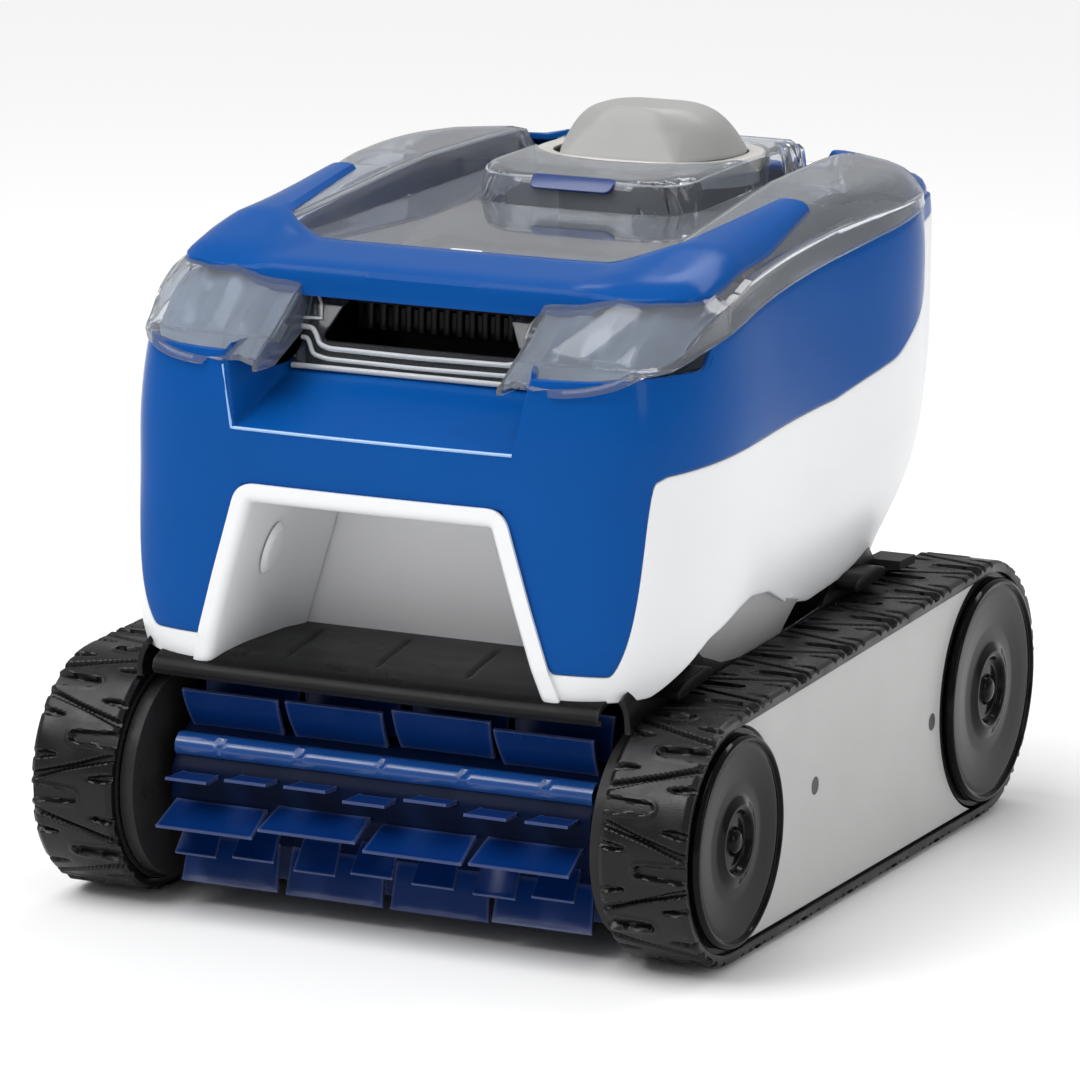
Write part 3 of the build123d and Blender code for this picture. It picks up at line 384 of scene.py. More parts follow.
def rubber(name, colour, rough=0.5):
    """Track rubber: dark, softly shiny, with fine pits and a little pale dust."""
    look, tree, shader = nodes_of(name, Specular_IOR_Level=0.30)
    dust = ranged(tree, noise(tree, 30, 6), 0, 0.3, 0.5, 0.8)
    base = mixed(tree, dust, colour, shade(colour, 2.0))
    wire(tree, shader, mixed(tree, worn_edge(tree, 0.5), base, shade(colour, 3.0)),
         ranged(tree, noise(tree, 60, 4), rough - 0.1, rough + 0.15))
    relief = bump(tree, shader, noise(tree, 1400, 2), 0.25, 0.0002)
    bump(tree, shader, noise(tree, 120, 3), 0.15, 0.0004, relief)
    return look


def smoked(name, tint, rough=0.04, ripple=0.25, clear=0.92):
    """Clear smoked plastic: tinted, with a faint moulding ripple and flow lines."""
    look, tree, shader = nodes_of(name, Transmission_Weight=clear, IOR=1.35, Specular_IOR_Level=0.75)
    wire(tree, shader, mixed(tree, ranged(tree, noise(tree, 10, 2), 0, 1), shade(tint, 0.93), shade(tint, 1.05)),
         ranged(tree, noise(tree, 25, 4), rough * 0.5, rough * 1.8))
    bump(tree, shader, noise(tree, 38, 1, (1, 0.4, 1)), ripple, 0.0012)
    return look


def metal(name, colour, rough=0.28):
    """Turned steel: fine stretched scratches and cloudy gloss."""
    look, tree, shader = nodes_of(name, Metallic=1.0)
    wire(tree, shader, mixed(tree, ranged(tree, noise(tree, 80, 4), 0, 1), shade(colour, 0.85), colour),
         ranged(tree, noise(tree, 300, 4, (0.05, 1, 1)), rough - 0.08, rough + 0.15))
    bump(tree, shader, noise(tree, 900, 2, (0.05, 1, 1)), 0.15, 0.0001)
    return look


def woven(name, colour):
    """Fine woven mesh: two crossing sets of threads."""
    look, tree, shader = nodes_of(name)
    place = added(tree, "ShaderNodeTexCoord")
    both = added(tree, "ShaderNodeMath", operation="MULTIPLY")
    for index, direction in enumerate("XZ"):
        wave = added(tree, "ShaderNodeTexWave", Scale=260.0, Distortion=0.4)
        wave.bands_direction = direction
        tree.links.new(place.outputs["Object"], wave.inputs["Vector"])
        tree.links.new(wave.outputs["Fac"], both.inputs[index])
    threads = both.outputs["Value"]
    wire(tree, shader, mixed(tree, threads, shade(colour, 0.45), colour), ranged(tree, threads, 0.75, 0.5, 0, 1))
    bump(tree, shader, threads, 0.6, 0.0004)
    return look


# Moulded plastics: colour, roughness, grain, grain scale, variation, wear, then coat, specular and unevenness.
MOULDED = {
    "blue_shell": ((0.0025, 0.074, 0.31), 0.18, 0.03, 900, 0.04, 0.08, 0.03, 0.055),
    # Pale blue for the bar on the recess crest: a painted highlight on its rounded edge.
    "crest_painted_highlight": ((0.30, 0.48, 0.78), 0.18, 0.03, 900, 0.04, 0.08, 0.3),
    "white_shell": ((0.84, 0.85, 0.865), 0.30, 0.03, 900, 0.012, 0.0, 0.0, 0.5, 0.015),
    "pocket_grey": ((0.90, 0.90, 0.91), 0.40, 0.05, 700, 0.02, 0.0, 0.0, 0.5, 0.02),
    "arch_grey": ((0.42, 0.42, 0.43), 0.38, 0.05, 700, 0.03, 0.1, 0.0, 0.5, 0.03),
    "lens_liner": ((0.29, 0.34, 0.41), 0.15, 0.05, 500, 0.35, 0.5, 0.5),
    "brush_strip": ((0.004, 0.055, 0.24), 0.22, 0.05, 600, 0.1, 0.2, 0.2, 0.35),
    "hood_grey": ((0.335, 0.332, 0.328), 0.40, 0.10, 1100, 0.03, 0.15),
    "cream_rim": ((0.60, 0.585, 0.55), 0.18, 0.03, 900, 0.03, 0.1, 0.3),
    "plate_grey": ((0.45, 0.45, 0.445), 0.36, 0.10, 1200, 0.03, 0.25),
    "black_plastic": ((0.0045, 0.0045, 0.005), 0.30, 0.22, 1100, 0.2, 0.25, 0.0, 0.08),
    "gloss_black": ((0.003, 0.003, 0.0035), 0.10, 0.03, 1000, 0.2, 0.2, 0.0, 0.10),
    "brush_blue": ((0.001, 0.022, 0.125), 0.30, 0.10, 500, 0.15, 0.6, 0.0, 0.22),
    # Much darker than the brush blue, for the sleeve among the blade roots: painted shade.
    "brush_root_painted_shade": ((0.0005, 0.005, 0.026), 0.45, 0.10, 500, 0.15, 0.2, 0.0, 0.06),
    "badge_blue": ((0.002, 0.03, 0.17), 0.20, 0.03, 900, 0.05, 0.2, 0.2),
    "grey_gear": ((0.50, 0.50, 0.48), 0.4, 0.1, 900, 0.05, 0.2),
    "basket_plastic": ((0.30, 0.33, 0.38), 0.3, 0.1, 900, 0.08, 0.3),
    "motor_plastic": ((0.02, 0.022, 0.025), 0.4, 0.2, 900, 0.15, 0.3, 0.0, 0.3),
}
LOOKS = {name: moulded(name, *values) for name, values in MOULDED.items()} | {
    "clear_lid": smoked("clear_lid", (0.74, 0.78, 0.84), 0.03, 0.06),
    "smoke_dark": smoked("smoke_dark", (0.26, 0.28, 0.31), 0.05, 0.10),
    # A paler, less clear copy of the lid's plastic for the grip ridges and window rims: a painted highlight.
    "clear_painted_highlight": smoked("clear_painted_highlight", (0.86, 0.89, 0.93), 0.03, 0.06, 0.45),
    "track_rubber": rubber("track_rubber", (0.0035, 0.0035, 0.004), 0.30),
    "basket_mesh": woven("basket_mesh", (0.34, 0.38, 0.43)),
    "seal_rubber": rubber("seal_rubber", (0.012, 0.012, 0.012), 0.5),
    "steel": metal("steel", (0.62, 0.62, 0.63)),
    "bronze": metal("bronze", (0.55, 0.38, 0.17), 0.35),
}


# --- body form
# Sections of the shell: height -> (front y, half widths at the stations, rear y).
# The half widths are those of the front corner, then those at STATION_Y[1:].
STATION_Y = np.array([-150.0, -59.5, 20.5, 100.5, 150.5, 180.5])
SECTIONS = {
    105: (-176, (121.5, 119, 109, 100, 84, 72), 184),
    124: (-180, (124.5, 123, 116, 107, 91, 80), 189),
    150: (-181.5, (125.5, 127, 124, 119, 103, 91), 192),
    188: (-182, (124, 129, 130, 130, 110, 99), 194),
    212: (-181.5, (124, 130, 131, 131, 111, 101), 195),
    245: (-179, (121, 127, 130, 131, 111, 101), 194),
    275: (-172, (115, 122, 128, 130, 110, 100), 191),
    300: (-162, (106, 114, 122, 125, 105, 95), 186),
}
HEIGHTS = np.array(sorted(SECTIONS), float)


def full_plan(front, widths, rear):
    """The closed outline of one section, from the front middle round by the right side."""
    first = widths[0]
    half = [(0, front), (68, front + 2), (first - 9, front + 15.5), (first, front + 31.5),
            *zip(widths[1:], STATION_Y[1:]), (0.72 * widths[-1], rear - 2.5), (0, rear)]
    return np.array(half + [(-x, y) for x, y in half[-2:0:-1]] + [half[0]], float)


PLANS = np.array([full_plan(*SECTIONS[z]) for z in HEIGHTS])
KNOTS = walked(PLANS[3])
AROUND = KNOTS[-1]
FRONT_WALK = 150
PLAN_BENDS = [spline_bend(KNOTS, plan, True) for plan in PLANS]


def soften(values, passes):
    """Evens out a closed row of values."""
    for _ in range(passes):
        values = 0.25 * np.roll(values, 1) + 0.5 * values + 0.25 * np.roll(values, -1)
    return values


def spaced_columns():
    """Places round the body: closest at the recess walls, close across the front, wider elsewhere."""
    where, places = 0.0, []
    while where < AROUND / 2:
        places.append(where)
        where += 0.6 if 54 < where < 74 else 1.0 if where < FRONT_WALK else 2.4
    places = np.array(places)
    return np.concatenate([places, AROUND - places[:0:-1]])


PLACES = spaced_columns()
# TABLE holds, for every section, the (x, y) of each place round the body.
TABLE = np.array([spline_at(KNOTS, plan, bend, PLACES) for plan, bend in zip(PLANS, PLAN_BENDS)])
TABLE_BENDS = spline_bend(HEIGHTS, TABLE, False)

# Heights by y: the seam of blue and white, the lid's lower edge, the lid's top and the white shell's foot.
COLOUR_LINE = [(-230, 122), (-171, 122), (-161, 202), (-154, 204.5), (6, 212), (64, 222), (91, 235),
               (119, 255), (150, 268), (230, 274)]
LID_LINE = [(-230, 240), (-150, 246), (-128, 252), (-78, 261), (18, 274), (102, 283.5), (150, 286), (230, 287)]
STERN_Z, DECK_Z = 281.0, 288.0
TOP_LINE = [(-220, 234), (-176, 239), (-158, 250), (-148, 257), (-130, 269.5), (-116, 275.5), (-80, 285), (-24, 291),
            (12, 295), (40, 297.5), (94, 299), (150, 299), (179, 293), (220, 286)]
WHITE_FOOT = [(-200, 110.5), (-168, 110.5), (-157, 112), (-127, 132), (-96, 139), (-79, 141), (-49, 137),
              (-20, 126), (13, 120), (48, 122), (98, 120), (150, 112), (220, 105)]
OPENING_TOP, OPENING_FOOT = (60.4, 188.4), (80.9, 122.2)
FOOT_Z = 122.0
RECESS_X, RECESS_Z, RECESS_TOP, RECESS_SLOPE = 64.0, 212.0, 233.0, 2.07
# Half the gap at the seam, the shells' thickness and the y from which the blue rim runs in to the lid's plan.
SEAM, SHELL_THICK, REAR_START = 0.15, 2.6, 103
LID_BACK = np.array([(127.5, 104), (66, 148.5), (66, 152.5), (0, 152.5)])


def body_at(height):
    """Outer surface (x, y) of each column at its own height."""
    inside = np.clip(height, HEIGHTS[0], HEIGHTS[-1])
    return spline_at(HEIGHTS, TABLE, TABLE_BENDS, inside, np.arange(len(PLACES)))


def settled(line_of, start):
    """Height of a line given by the surface's own (x, y), found by repeated placing."""
    height = np.full(len(PLACES), float(start))
    for _ in range(12):
        spot = body_at(height)
        height = 0.5 * height + 0.5 * line_of(spot[:, 0], spot[:, 1])
    return height


def colour_edge(x, y):
    """Where blue starts above white: over the opening, down the legs and along the sides."""
    arch = line([(0, OPENING_TOP[1]), OPENING_TOP, OPENING_FOOT, (90, 110)], np.abs(x))
    arch = np.where(y < -120, arch, 0)
    return np.maximum(np.maximum(arch, line(COLOUR_LINE, y)), FOOT_Z)


def top_edge(x, y):
    """Where the blue shell ends under the lid."""
    side = line(LID_LINE, y)
    front = RECESS_TOP + (245 - RECESS_TOP) * smooth(58, 66, np.abs(x))
    stern = STERN_Z + (side - STERN_Z) * smooth(58, 72, np.abs(x))
    return np.where(y < -125, np.minimum(front, side), np.where(y > 150, stern, side))


BLUE_LOW = soften(settled(colour_edge, 150), 2)
BLUE_HIGH = soften(settled(top_edge, 245), 2)
WHITE_LOW = soften(settled(lambda x, y: line(WHITE_FOOT, y), 120), 2)


def recessed(x, y, z):
    """The grip recess: above its crest the front slopes back between two flared walls."""
    rise = np.clip(z - RECESS_Z, 0, None)
    outer, inner = RECESS_X + 0.24 * rise, RECESS_X - 0.29 * rise
    inside = np.clip((outer - np.abs(x)) / np.maximum(outer - inner, 0.8), 0, 1)
    depth = np.clip(soft_max(rise, 0 * rise, 0.6) - 0.15, 0, None) * RECESS_SLOPE * smooth(0, 1, inside)
    return y + np.where(y < -100, depth, 0)


def shell_point(height):
    """Outer surface points of every column at its height, recess included."""
    spot = body_at(height)
    y = recessed(spot[:, 0], spot[:, 1], height)
    return xyz(spot[:, 0], y, height)


def eased(count, first):
    """Fractions 0..1 with a chosen first and last step."""
    return np.concatenate([[0], np.linspace(first, 1 - first, count - 2), [1]])


def blue_shell():
    """The blue upper shell: walls, front legs, recess and the rear shoulders up to the lid."""
    rim = shell_point(BLUE_HIGH)[:, :2]
    back = smooth(96, 118, rim[:, 1])
    radius = 0.8 + 8.2 * back * smooth(56, 78, np.abs(rim[:, 0]))
    wall_top = BLUE_HIGH - radius
    rows = [shell_point(BLUE_LOW + SEAM + (wall_top - BLUE_LOW) * t) for t in eased(46, 0.03)[:-1]]
    rear, right = rim[:, 1] > REAR_START, rim[:, 0] >= 0
    length = np.zeros(len(rim))
    for half in (np.where(rear & right)[0], np.where(rear & ~right)[0][::-1]):
        length[half] = walked(rim[half])
    walk = walked(LID_BACK)
    share = length / length.max() * walk[-1]
    aim = np.stack([np.interp(share, walk, column) for column in LID_BACK.T], -1)
    aim[:, 0] *= np.where(right, 1, -1)
    target = np.where(rear[:, None], aim, rim - 3.0 * unit(rim))
    way = unit(target - rim)
    reach = np.linalg.norm(target - rim, axis=1)
    inside = np.minimum(radius, reach * 0.6)
    for a in np.radians([0, 22, 45, 68, 90]):
        spot = rim + way * (inside * (1 - math.cos(a)))[:, None]
        rows.append(np.column_stack([spot, wall_top + radius * math.sin(a)]))
    wing = smooth(58, 65.5, np.abs(target[:, 0]))
    deck = DECK_Z + (lid_top(target[:, 0], target[:, 1]) + 1.2 - DECK_Z) * wing
    end_z = np.where(rear, deck, BLUE_HIGH)
    for t in (0.15, 0.35, 0.6, 0.8, 0.93, 1.0):
        flat = rim + way * (inside + (reach - inside) * t)[:, None]
        crown = 2.5 * np.sin(math.pi * t) * back
        rows.append(np.column_stack([flat, BLUE_HIGH * (1 - t) + end_z * t + crown]))
    shell = made("blue_upper_shell", skin(rows, SHELL_THICK, True, 1.0), "chassis", "blue_shell")
    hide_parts("upper_shell")
    # A bar along the recess crest in pale blue: a painted highlight on the crest's rounded edge.
    path = [(-65.5 - 0.2 * rise, RECESS_Z + rise) for rise in np.linspace(26, 0, 14)]
    x, z = np.array(path + [(u, RECESS_Z) for u in np.linspace(-RECESS_X, RECESS_X, 60)]).T
    crest_highlight_bar = bar_along(xyz(x, front_y(x, z) + 0.25, z), 0.75, 8)
    made("recess_crest", crest_highlight_bar, "chassis", "crest_painted_highlight", "blue_shell", 60)



def white_shell():
    """The white lower shell: front feet, sides with their crease, and the stern."""
    spot = body_at(WHITE_LOW)
    legs = (np.abs(spot[:, 0]) > 79.4) | (spot[:, 1] > 0)
    high = np.maximum(BLUE_LOW - SEAM, WHITE_LOW + 4)
    rows = []
    for t in eased(40, 0.03):
        points = shell_point(WHITE_LOW + (high - WHITE_LOW) * t)
        x, y, z = points.T
        crease_z = 180 + 0.187 * y
        depth = smooth(crease_z - 14, crease_z, z) * smooth(crease_z + 34, crease_z + 2, z)
        points[:, 0] -= np.sign(x) * 1.3 * depth * smooth(-75, -20, y) * smooth(125, 70, y)
        rows.append(points[legs])
    shell = made("white_lower_shell", skin(rows, SHELL_THICK, False, 1.0), "chassis", "white_shell")
    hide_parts("lower_shell")


# --- tracks
CENTRES = np.array([[FRONT_Y, FRONT_Z], [REAR_Y, REAR_Z]])
REACH = np.linalg.norm(CENTRES[1] - CENTRES[0])
ALONG = (CENTRES[1] - CENTRES[0]) / REACH
TAPER = (REAR_R - FRONT_R) / REACH


def loop_path(height, steps):
    """Places and outward directions round the belt, evenly spaced, starting under the front wheel."""
    across = np.array([-ALONG[1], ALONG[0]])
    lift = math.sqrt(1 - TAPER ** 2)
    top, bottom = (sign * lift * across - TAPER * ALONG for sign in (1, -1))
    angle_top, angle_bottom = (math.atan2(way[1], way[0]) for way in (top, bottom))
    front_turn = (angle_bottom - angle_top) % (2 * math.pi)
    front_r, rear_r = FRONT_R + height, REAR_R + height
    lengths = [front_r * front_turn, REACH * lift, rear_r * (2 * math.pi - front_turn), REACH * lift]
    starts = np.cumsum([0] + lengths[:3])
    place = np.arange(steps) / steps * sum(lengths)
    spots, ways = [], []
    for s in place:
        leg = int(np.searchsorted(starts, s, "right")) - 1
        s = s - starts[leg]
        if leg in (0, 2):
            angle = angle_top - s / rear_r if leg else angle_bottom - s / front_r
            way = np.array([math.cos(angle), math.sin(angle)])
            base = CENTRES[leg // 2] + way * (REAR_R if leg else FRONT_R)
        else:
            way = top if leg == 1 else bottom
            start, end = [CENTRES[0] + way * FRONT_R, CENTRES[1] + way * REAR_R][::2 - leg]
            base = start + (end - start) * s / lengths[leg]
        spots.append(base)
        ways.append(way)
    return np.array(spots), np.array(ways), place, sum(lengths)


# The tread repeats PERIODS times round the belt; STEPS are the slices of one repeat.
PERIODS, STEPS = 18, 80
BELT_WIDE = BELT_OUT - BELT_IN
SLOT_LONG = 23.0


def to_segment(u, s, start, end):
    """Distance to a segment and the fraction along it."""
    line_u, line_s = end[0] - start[0], end[1] - start[1]
    size = line_u ** 2 + line_s ** 2
    t = np.clip(((u - start[0]) * line_u + (s - start[1]) * line_s) / size, 0, 1)
    return np.hypot(u - start[0] - t * line_u, s - start[1] - t * line_s), t


def tread_height(u, s, period):
    """Lug height over the belt: rimmed slots from each edge in turn, and tapered curved grooves between."""
    cut = np.zeros_like(u)
    rim = np.zeros_like(u)
    for shift in range(-1, 3):
        for half, across in ((0.0, u), (period / 2, BELT_WIDE - u)):
            base = s - shift * period - half
            gap, t = to_segment(across, base, (-6, 0), (SLOT_LONG - 3, 0))
            width = 3.6 - 1.4 * t
            cut = np.maximum(cut, smooth(width + 0.35, width - 0.35, gap))
            rim = np.maximum(rim, smooth(width + 2.4, width + 1.2, gap))
            part = np.clip(across / BELT_WIDE, 0, 1)
            bend = part * part * (3 - 2 * part)
            grooves = [(period / 2 - 9.5, 1.5, 1.3, 0.42)]
            if half == 0:
                grooves.append((7.2, period / 2 - 14.4, 1.4, 1.5))
            for sign in (1, -1):
                for start, run, wide, stop in grooves:
                    away = np.abs(base - sign * (start + run * bend + 0.8 * np.sin(2 * math.pi * part)))
                    width = wide * (1 - 0.35 * np.sin(math.pi * part) ** 2) * smooth(stop, stop - 0.3, part)
                    cut = np.maximum(cut, smooth(width + 0.6, width - 0.6, away) * smooth(0.2, 0.6, width))
    edge = np.minimum(u, BELT_WIDE - u)
    shoulder = 1 - 0.5 * smooth(3.0, 0.0, edge) ** 2
    return (LUG - 0.4 + 0.4 * rim) * (1 - cut) * shoulder


def belt(side, label):
    """One moulded track belt, tread and smooth inner face, as a closed ring."""
    steps = PERIODS * STEPS
    spots, ways, place, total = loop_path(BAND, steps)
    period = total / PERIODS
    across = np.linspace(0, BELT_WIDE, 58)
    u, s = np.meshgrid(across, place % period)
    inner = np.tile([1.2, 0.1, 0.1, 0.1, 0.1, 1.2], (steps, 1))
    height = np.concatenate([BAND + tread_height(u, s, period), inner], 1)[..., None]
    ring_x = np.concatenate([BELT_IN + across, [BELT_OUT, BELT_OUT - 0.5, BELT_OUT - 5],
                             [BELT_IN + 5, BELT_IN + 0.5, BELT_IN]])
    flat = spots[:, None] + ways[:, None] * height
    points = xyz(ring_x * side, flat[..., 0], flat[..., 1]).reshape(-1, 3)
    faces = grid_faces(steps + 1, len(ring_x), True) % len(points)
    piece = made(f"tread_{label}", (points, faces.tolist()), "chassis", "track_rubber", sharp=50)
    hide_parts(f"track_belt_{label}")


# --- wheel discs
def wheel_disc(label, end, r, y, z, side):
    """Gloss wheel cover: thin raised rim, dished face, recessed hub with a domed screw boss."""
    corners = [(150.15, 0.5 * r), (150.15, r - 0.4), (152.6, r), (154.5, r - 0.8), (155.0, r - 1.8), (154.8, r - 2.8),
               (153.4, r - 3.6), (153.6, r - 6.0), (153.0, r * 0.74), (152.0, r * 0.56), (152.2, r * 0.44),
               (153.4, r * 0.37), (154.1, r * 0.335), (153.6, r * 0.30), (150.9, r * 0.27), (150.5, r * 0.24),
               (150.5, r * 0.13), (152.4, r * 0.115), (153.6, r * 0.08), (154.1, r * 0.04), (154.2, 0.05)]
    rings = [on_axle(x * side, radius, circle(96), y, z) for x, radius in rounded_profile(corners, 1.2)]
    disc = made(f"{end}_wheel_cover_{label}", tube(rings), f"{end}_wheel_assembly_{label}",
                "gloss_black", sharp=55)
    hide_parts(f"{end}_disc_{label}")


# --- lid
# The sunk window: where it starts, its half width and floor height by y, and the plinth left in it round the hood.
LID_THICK = 2.2
WINDOW_Y0 = -125.0
WINDOW_SIDE = [(-80, 88), (110, 79)]
FLOOR_LINE = [(-93, 276.6), (111, 286.0)]
PLINTH_X, PLINTH_Y = 51.0, 14.0
GRIP_X = 58.0
HOLE_X, HOLE_Y = 53.0, 45.0


def body_value(place, z, columns, known, wanted):
    """One coordinate of the body's outline from the other (0 for x, 1 for y), at heights z."""
    place, z = np.broadcast_arrays(np.asarray(place, float), np.asarray(z, float))
    values = np.array([np.interp(place, row[:, known], row[:, wanted]) for row in TABLE[:, columns]])
    low = np.clip(np.searchsorted(HEIGHTS, z) - 1, 0, len(HEIGHTS) - 2)
    part = np.clip((z - HEIGHTS[low]) / (HEIGHTS[low + 1] - HEIGHTS[low]), 0, 1)
    below, above = (np.take_along_axis(values, (low + k)[None], 0)[0] for k in (0, 1))
    return below * (1 - part) + above * part


def body_half_width(y, z):
    """Half width of the body at (y, z)."""
    return body_value(y, z, PLACES <= AROUND / 2, 1, 0)


def crest(y):
    """Height of the lid's top along the middle."""
    return line(TOP_LINE, y)


def lid_edge_z(y):
    """Height of the lid's lower edge, 0.3 above the blue shell."""
    return np.minimum(line(LID_LINE, y) + 0.3, crest(y) - 1.6)


def lid_end_x(y):
    """Half width of the lid's plan: it tapers between the rear shoulders."""
    return line([(90, 150), (143.5, 64), (148, 60)], y)


def lid_top(x, y):
    """Height of the lid's upper skin, without the window, at (x, y)."""
    wide = np.minimum(body_half_width(y, crest(y) - 6), lid_end_x(y) + 12)
    fall = np.clip(np.abs(x) - (wide - 16), 0, 15.9) / 16
    return crest(y) - 16 * (1 - np.sqrt(1 - fall ** 2)) * 0.62 - 1.5 * (np.abs(x) / 120) ** 2


def boxed(across, ahead, corner):
    """Distance outside a rounded corner box, from the overshoots across and ahead."""
    outside = np.hypot(np.clip(across + corner, 0, None), np.clip(ahead + corner, 0, None))
    return outside + np.minimum(np.maximum(across, ahead) + corner, 0) - corner


def window_drop(x, y):
    """How far the sunk deck lies under the lid's top: steep walls, and a plinth left round the hood."""
    depth = np.clip(crest(y) - line(FLOOR_LINE, y), 0, None)
    sunk = smooth(1.6, -1.6, boxed(np.abs(x) - line(WINDOW_SIDE, y), WINDOW_Y0 - y, 12.0))
    plinth = smooth(1.6, -1.6, boxed(np.abs(x) - PLINTH_X, PLINTH_Y - y, 24.0))
    return depth * sunk * (1 - plinth)


def half_stations(y):
    """Places across half a section: middle, plinth wall, deck, deck wall and shoulder."""
    wall = float(line(WINDOW_SIDE, y))
    parts = [np.linspace(0, PLINTH_X - 3, 12), PLINTH_X + np.linspace(-2.2, 2.2, 7),
             np.linspace(PLINTH_X + 4, wall - 4, 7), wall + np.linspace(-2.4, 2.4, 8), [wall + 4, wall + 7]]
    return np.concatenate(parts)


def lid_cover():
    """Clear lid: rounded shoulders, sunk window, hole for the outlet hood."""
    ys = np.concatenate([np.arange(-106, -96, 2.5), np.arange(-96, -76, 0.8), np.arange(-76, 4, 4),
                         np.arange(4, 28, 0.8), np.arange(28, 147, 3.5), [148]])
    rows = []
    for y in ys:
        plan, edge_z = lid_end_x(y), lid_edge_z(y)
        wide = min(float(body_half_width(y, edge_z)), plan)
        stations = half_stations(y)
        inner = stations * min(1.0, (wide - 8) / stations[-1])
        top_x = np.concatenate([inner, np.linspace(inner[-1] + 2, wide - 0.6, 12)])
        top_z = lid_top(top_x, y) - window_drop(top_x, y)
        side_z = top_z[-1] + (edge_z - top_z[-1]) * np.linspace(0.15, 1, 5)
        side_x = np.minimum(body_half_width(y, side_z) + 0.05, plan)
        half_x, half_z = np.concatenate([top_x, side_x]), np.concatenate([top_z, side_z])
        xs = np.concatenate([-half_x[::-1], half_x[1:]])
        rows.append(xyz(xs, y, np.concatenate([half_z[::-1], half_z[1:]])))
    piece = made("lid_cover", skin(rows, LID_THICK, False, -1.0, 0.4), "lid_assembly", "clear_lid", sharp=35)
    x, y = HOLE_X * np.cos(circle(96)), HOOD_Y + HOLE_Y * np.sin(circle(96))
    carve(piece, tube([xyz(x, y, z) for z in (250, 340)], True))
    return piece


def carve(piece, shape):
    """Cuts a closed shape out of a piece for good."""
    mesh = bpy.data.meshes.new("cutter")
    mesh.from_pydata((shape[0] * MM).tolist(), [], shape[1])
    cutter = placed("cutter", mesh)
    work = bmesh.new()
    work.from_mesh(mesh)
    bmesh.ops.recalc_face_normals(work, faces=work.faces)
    work.to_mesh(mesh)
    work.free()
    cut = piece.modifiers.new("cut", "BOOLEAN")
    cut.operation, cut.solver, cut.object = "DIFFERENCE", "EXACT", cutter
    bpy.context.view_layer.update()
    shaped = bpy.data.meshes.new_from_object(piece.evaluated_get(bpy.context.evaluated_depsgraph_get()))
    piece.modifiers.clear()
    old, piece.data = piece.data, shaped
    bpy.data.objects.remove(cutter)
    for spent in (old, mesh):
        bpy.data.meshes.remove(spent)
    shaped.name = piece.name


def lens(side, label, inset=0.0):
    """Clear corner of the lid, beside the grip: sloping face, creased; inset makes the liner below it."""
    rows = []
    for y in np.concatenate([np.arange(-176.6 + inset, -156, 0.45), np.arange(-156, -106, 2.0), [-106]]):
        edge_z = float(lid_edge_z(y))
        wide = max(float(body_half_width(y, edge_z)), GRIP_X + 1.2)
        xs = GRIP_X + (wide - 0.5 - GRIP_X) * np.linspace(0, 1, 22)
        fold = 64 + 26 * smooth(-176, -120, y)
        zs = lid_top(xs, y) + 1.6 * np.clip(1 - np.abs(xs - fold) / 14, 0, 1) - 1.2 * smooth(fold, GRIP_X, xs)
        zs = np.maximum(zs, edge_z + 0.8)
        if inset:
            facet = np.abs((xs - GRIP_X) % 17 - 8.5) - 4
            xs = GRIP_X + (xs - GRIP_X) * (wide - inset - GRIP_X) / max(wide - 0.5 - GRIP_X, 1)
            zs = np.maximum(zs - inset + 0.25 * facet, edge_z)
        else:
            wall_z = np.linspace(236 + 20 * smooth(-150, -112, y), zs[0], 6)[:-1]
            side_z = zs[-1] + (edge_z - zs[-1]) * np.linspace(0.2, 1, 4)
            side_x = np.maximum(body_half_width(y, side_z) + 0.05, wide - 0.5)
            xs = np.concatenate([np.full(5, GRIP_X - 0.4), xs, side_x])
            zs = np.concatenate([wall_z, zs, side_z])
        rows.append(xyz(xs * side, y, zs))
    if inset:
        made(f"lens_liner_{label}", skin(rows, 1.2, False, -side, 0.3), "lid_assembly", "lens_liner", "clear_lid", 20)
    else:
        made(f"lid_lens_{label}", skin(rows, 2.4, False, -side, 0.4), "lid_assembly", "clear_lid", sharp=30)


PLATE_LINE = [(232.5, -140), (236, -138.6), (250, -133), (263, -127), (268, -123)]


def plate_y(z):
    """Front face of the grip plate at a height."""
    return line(PLATE_LINE, z)


def grip_plate():
    """Smoked plate round the grip hole, with nested bright ridges along the hole's lower edge."""
    x, z = np.meshgrid(np.linspace(-GRIP_X + 0.8, GRIP_X - 0.8, 40), np.linspace(232.8, 264, 14))
    plate = skin(xyz(x, plate_y(z), z), 2.4, False, 1.0, 0.4)
    piece = made("grip_plate", plate, "lid_assembly", "smoke_dark", "clear_lid", 30)
    half = [(0, 243.5), (-45, 243.5), (-46.5, 245.5), (-37, 262.5), (0, 263)]
    outline = rounded_profile(half + [(-u, v) for u, v in half[-2::-1]], 3)[:-1]
    carve(piece, tube([[(u, y, v) for u, v in outline] for y in (-170, -100)], True))
    strips = []
    for drop, reach, size in ((0.0, 0.0, 1.15), (4.2, 3.6, 1.0)):
        half = [(57, 249), (51 + reach * 0.4, 248.6), (48.5 + reach * 0.6, 246), (46.5 + reach * 0.6, 242.4),
                (42, 241), (0, 240.6)]
        path = [(-u, v - drop) for u, v in half] + [(u, v - drop) for u, v in half[-2::-1]]
        strips.append(bar_along([(u, plate_y(v) - 0.9, v) for u, v in rounded_profile(path, 4, 5)], size))
    strips.append(bar_along([(u, -140.6 + 0.2 * abs(u) / 58, 233.2) for u in np.linspace(-57.5, 57.5, 24)], 1.25))
    frame_line = [(-57, 262.5), (-52, 262.5), (-49, 258), (-47.5, 252.5), (-57, 252.3)]
    strips += [bar_along([(u * side, plate_y(v) - 0.6, v) for u, v in frame_line], 0.7) for side in (1, -1)]
    # The ridges take the paler, less clear plastic: a painted highlight.
    made("grip_ridges", joined(strips), "lid_assembly", "clear_painted_highlight", "clear_lid", 60)


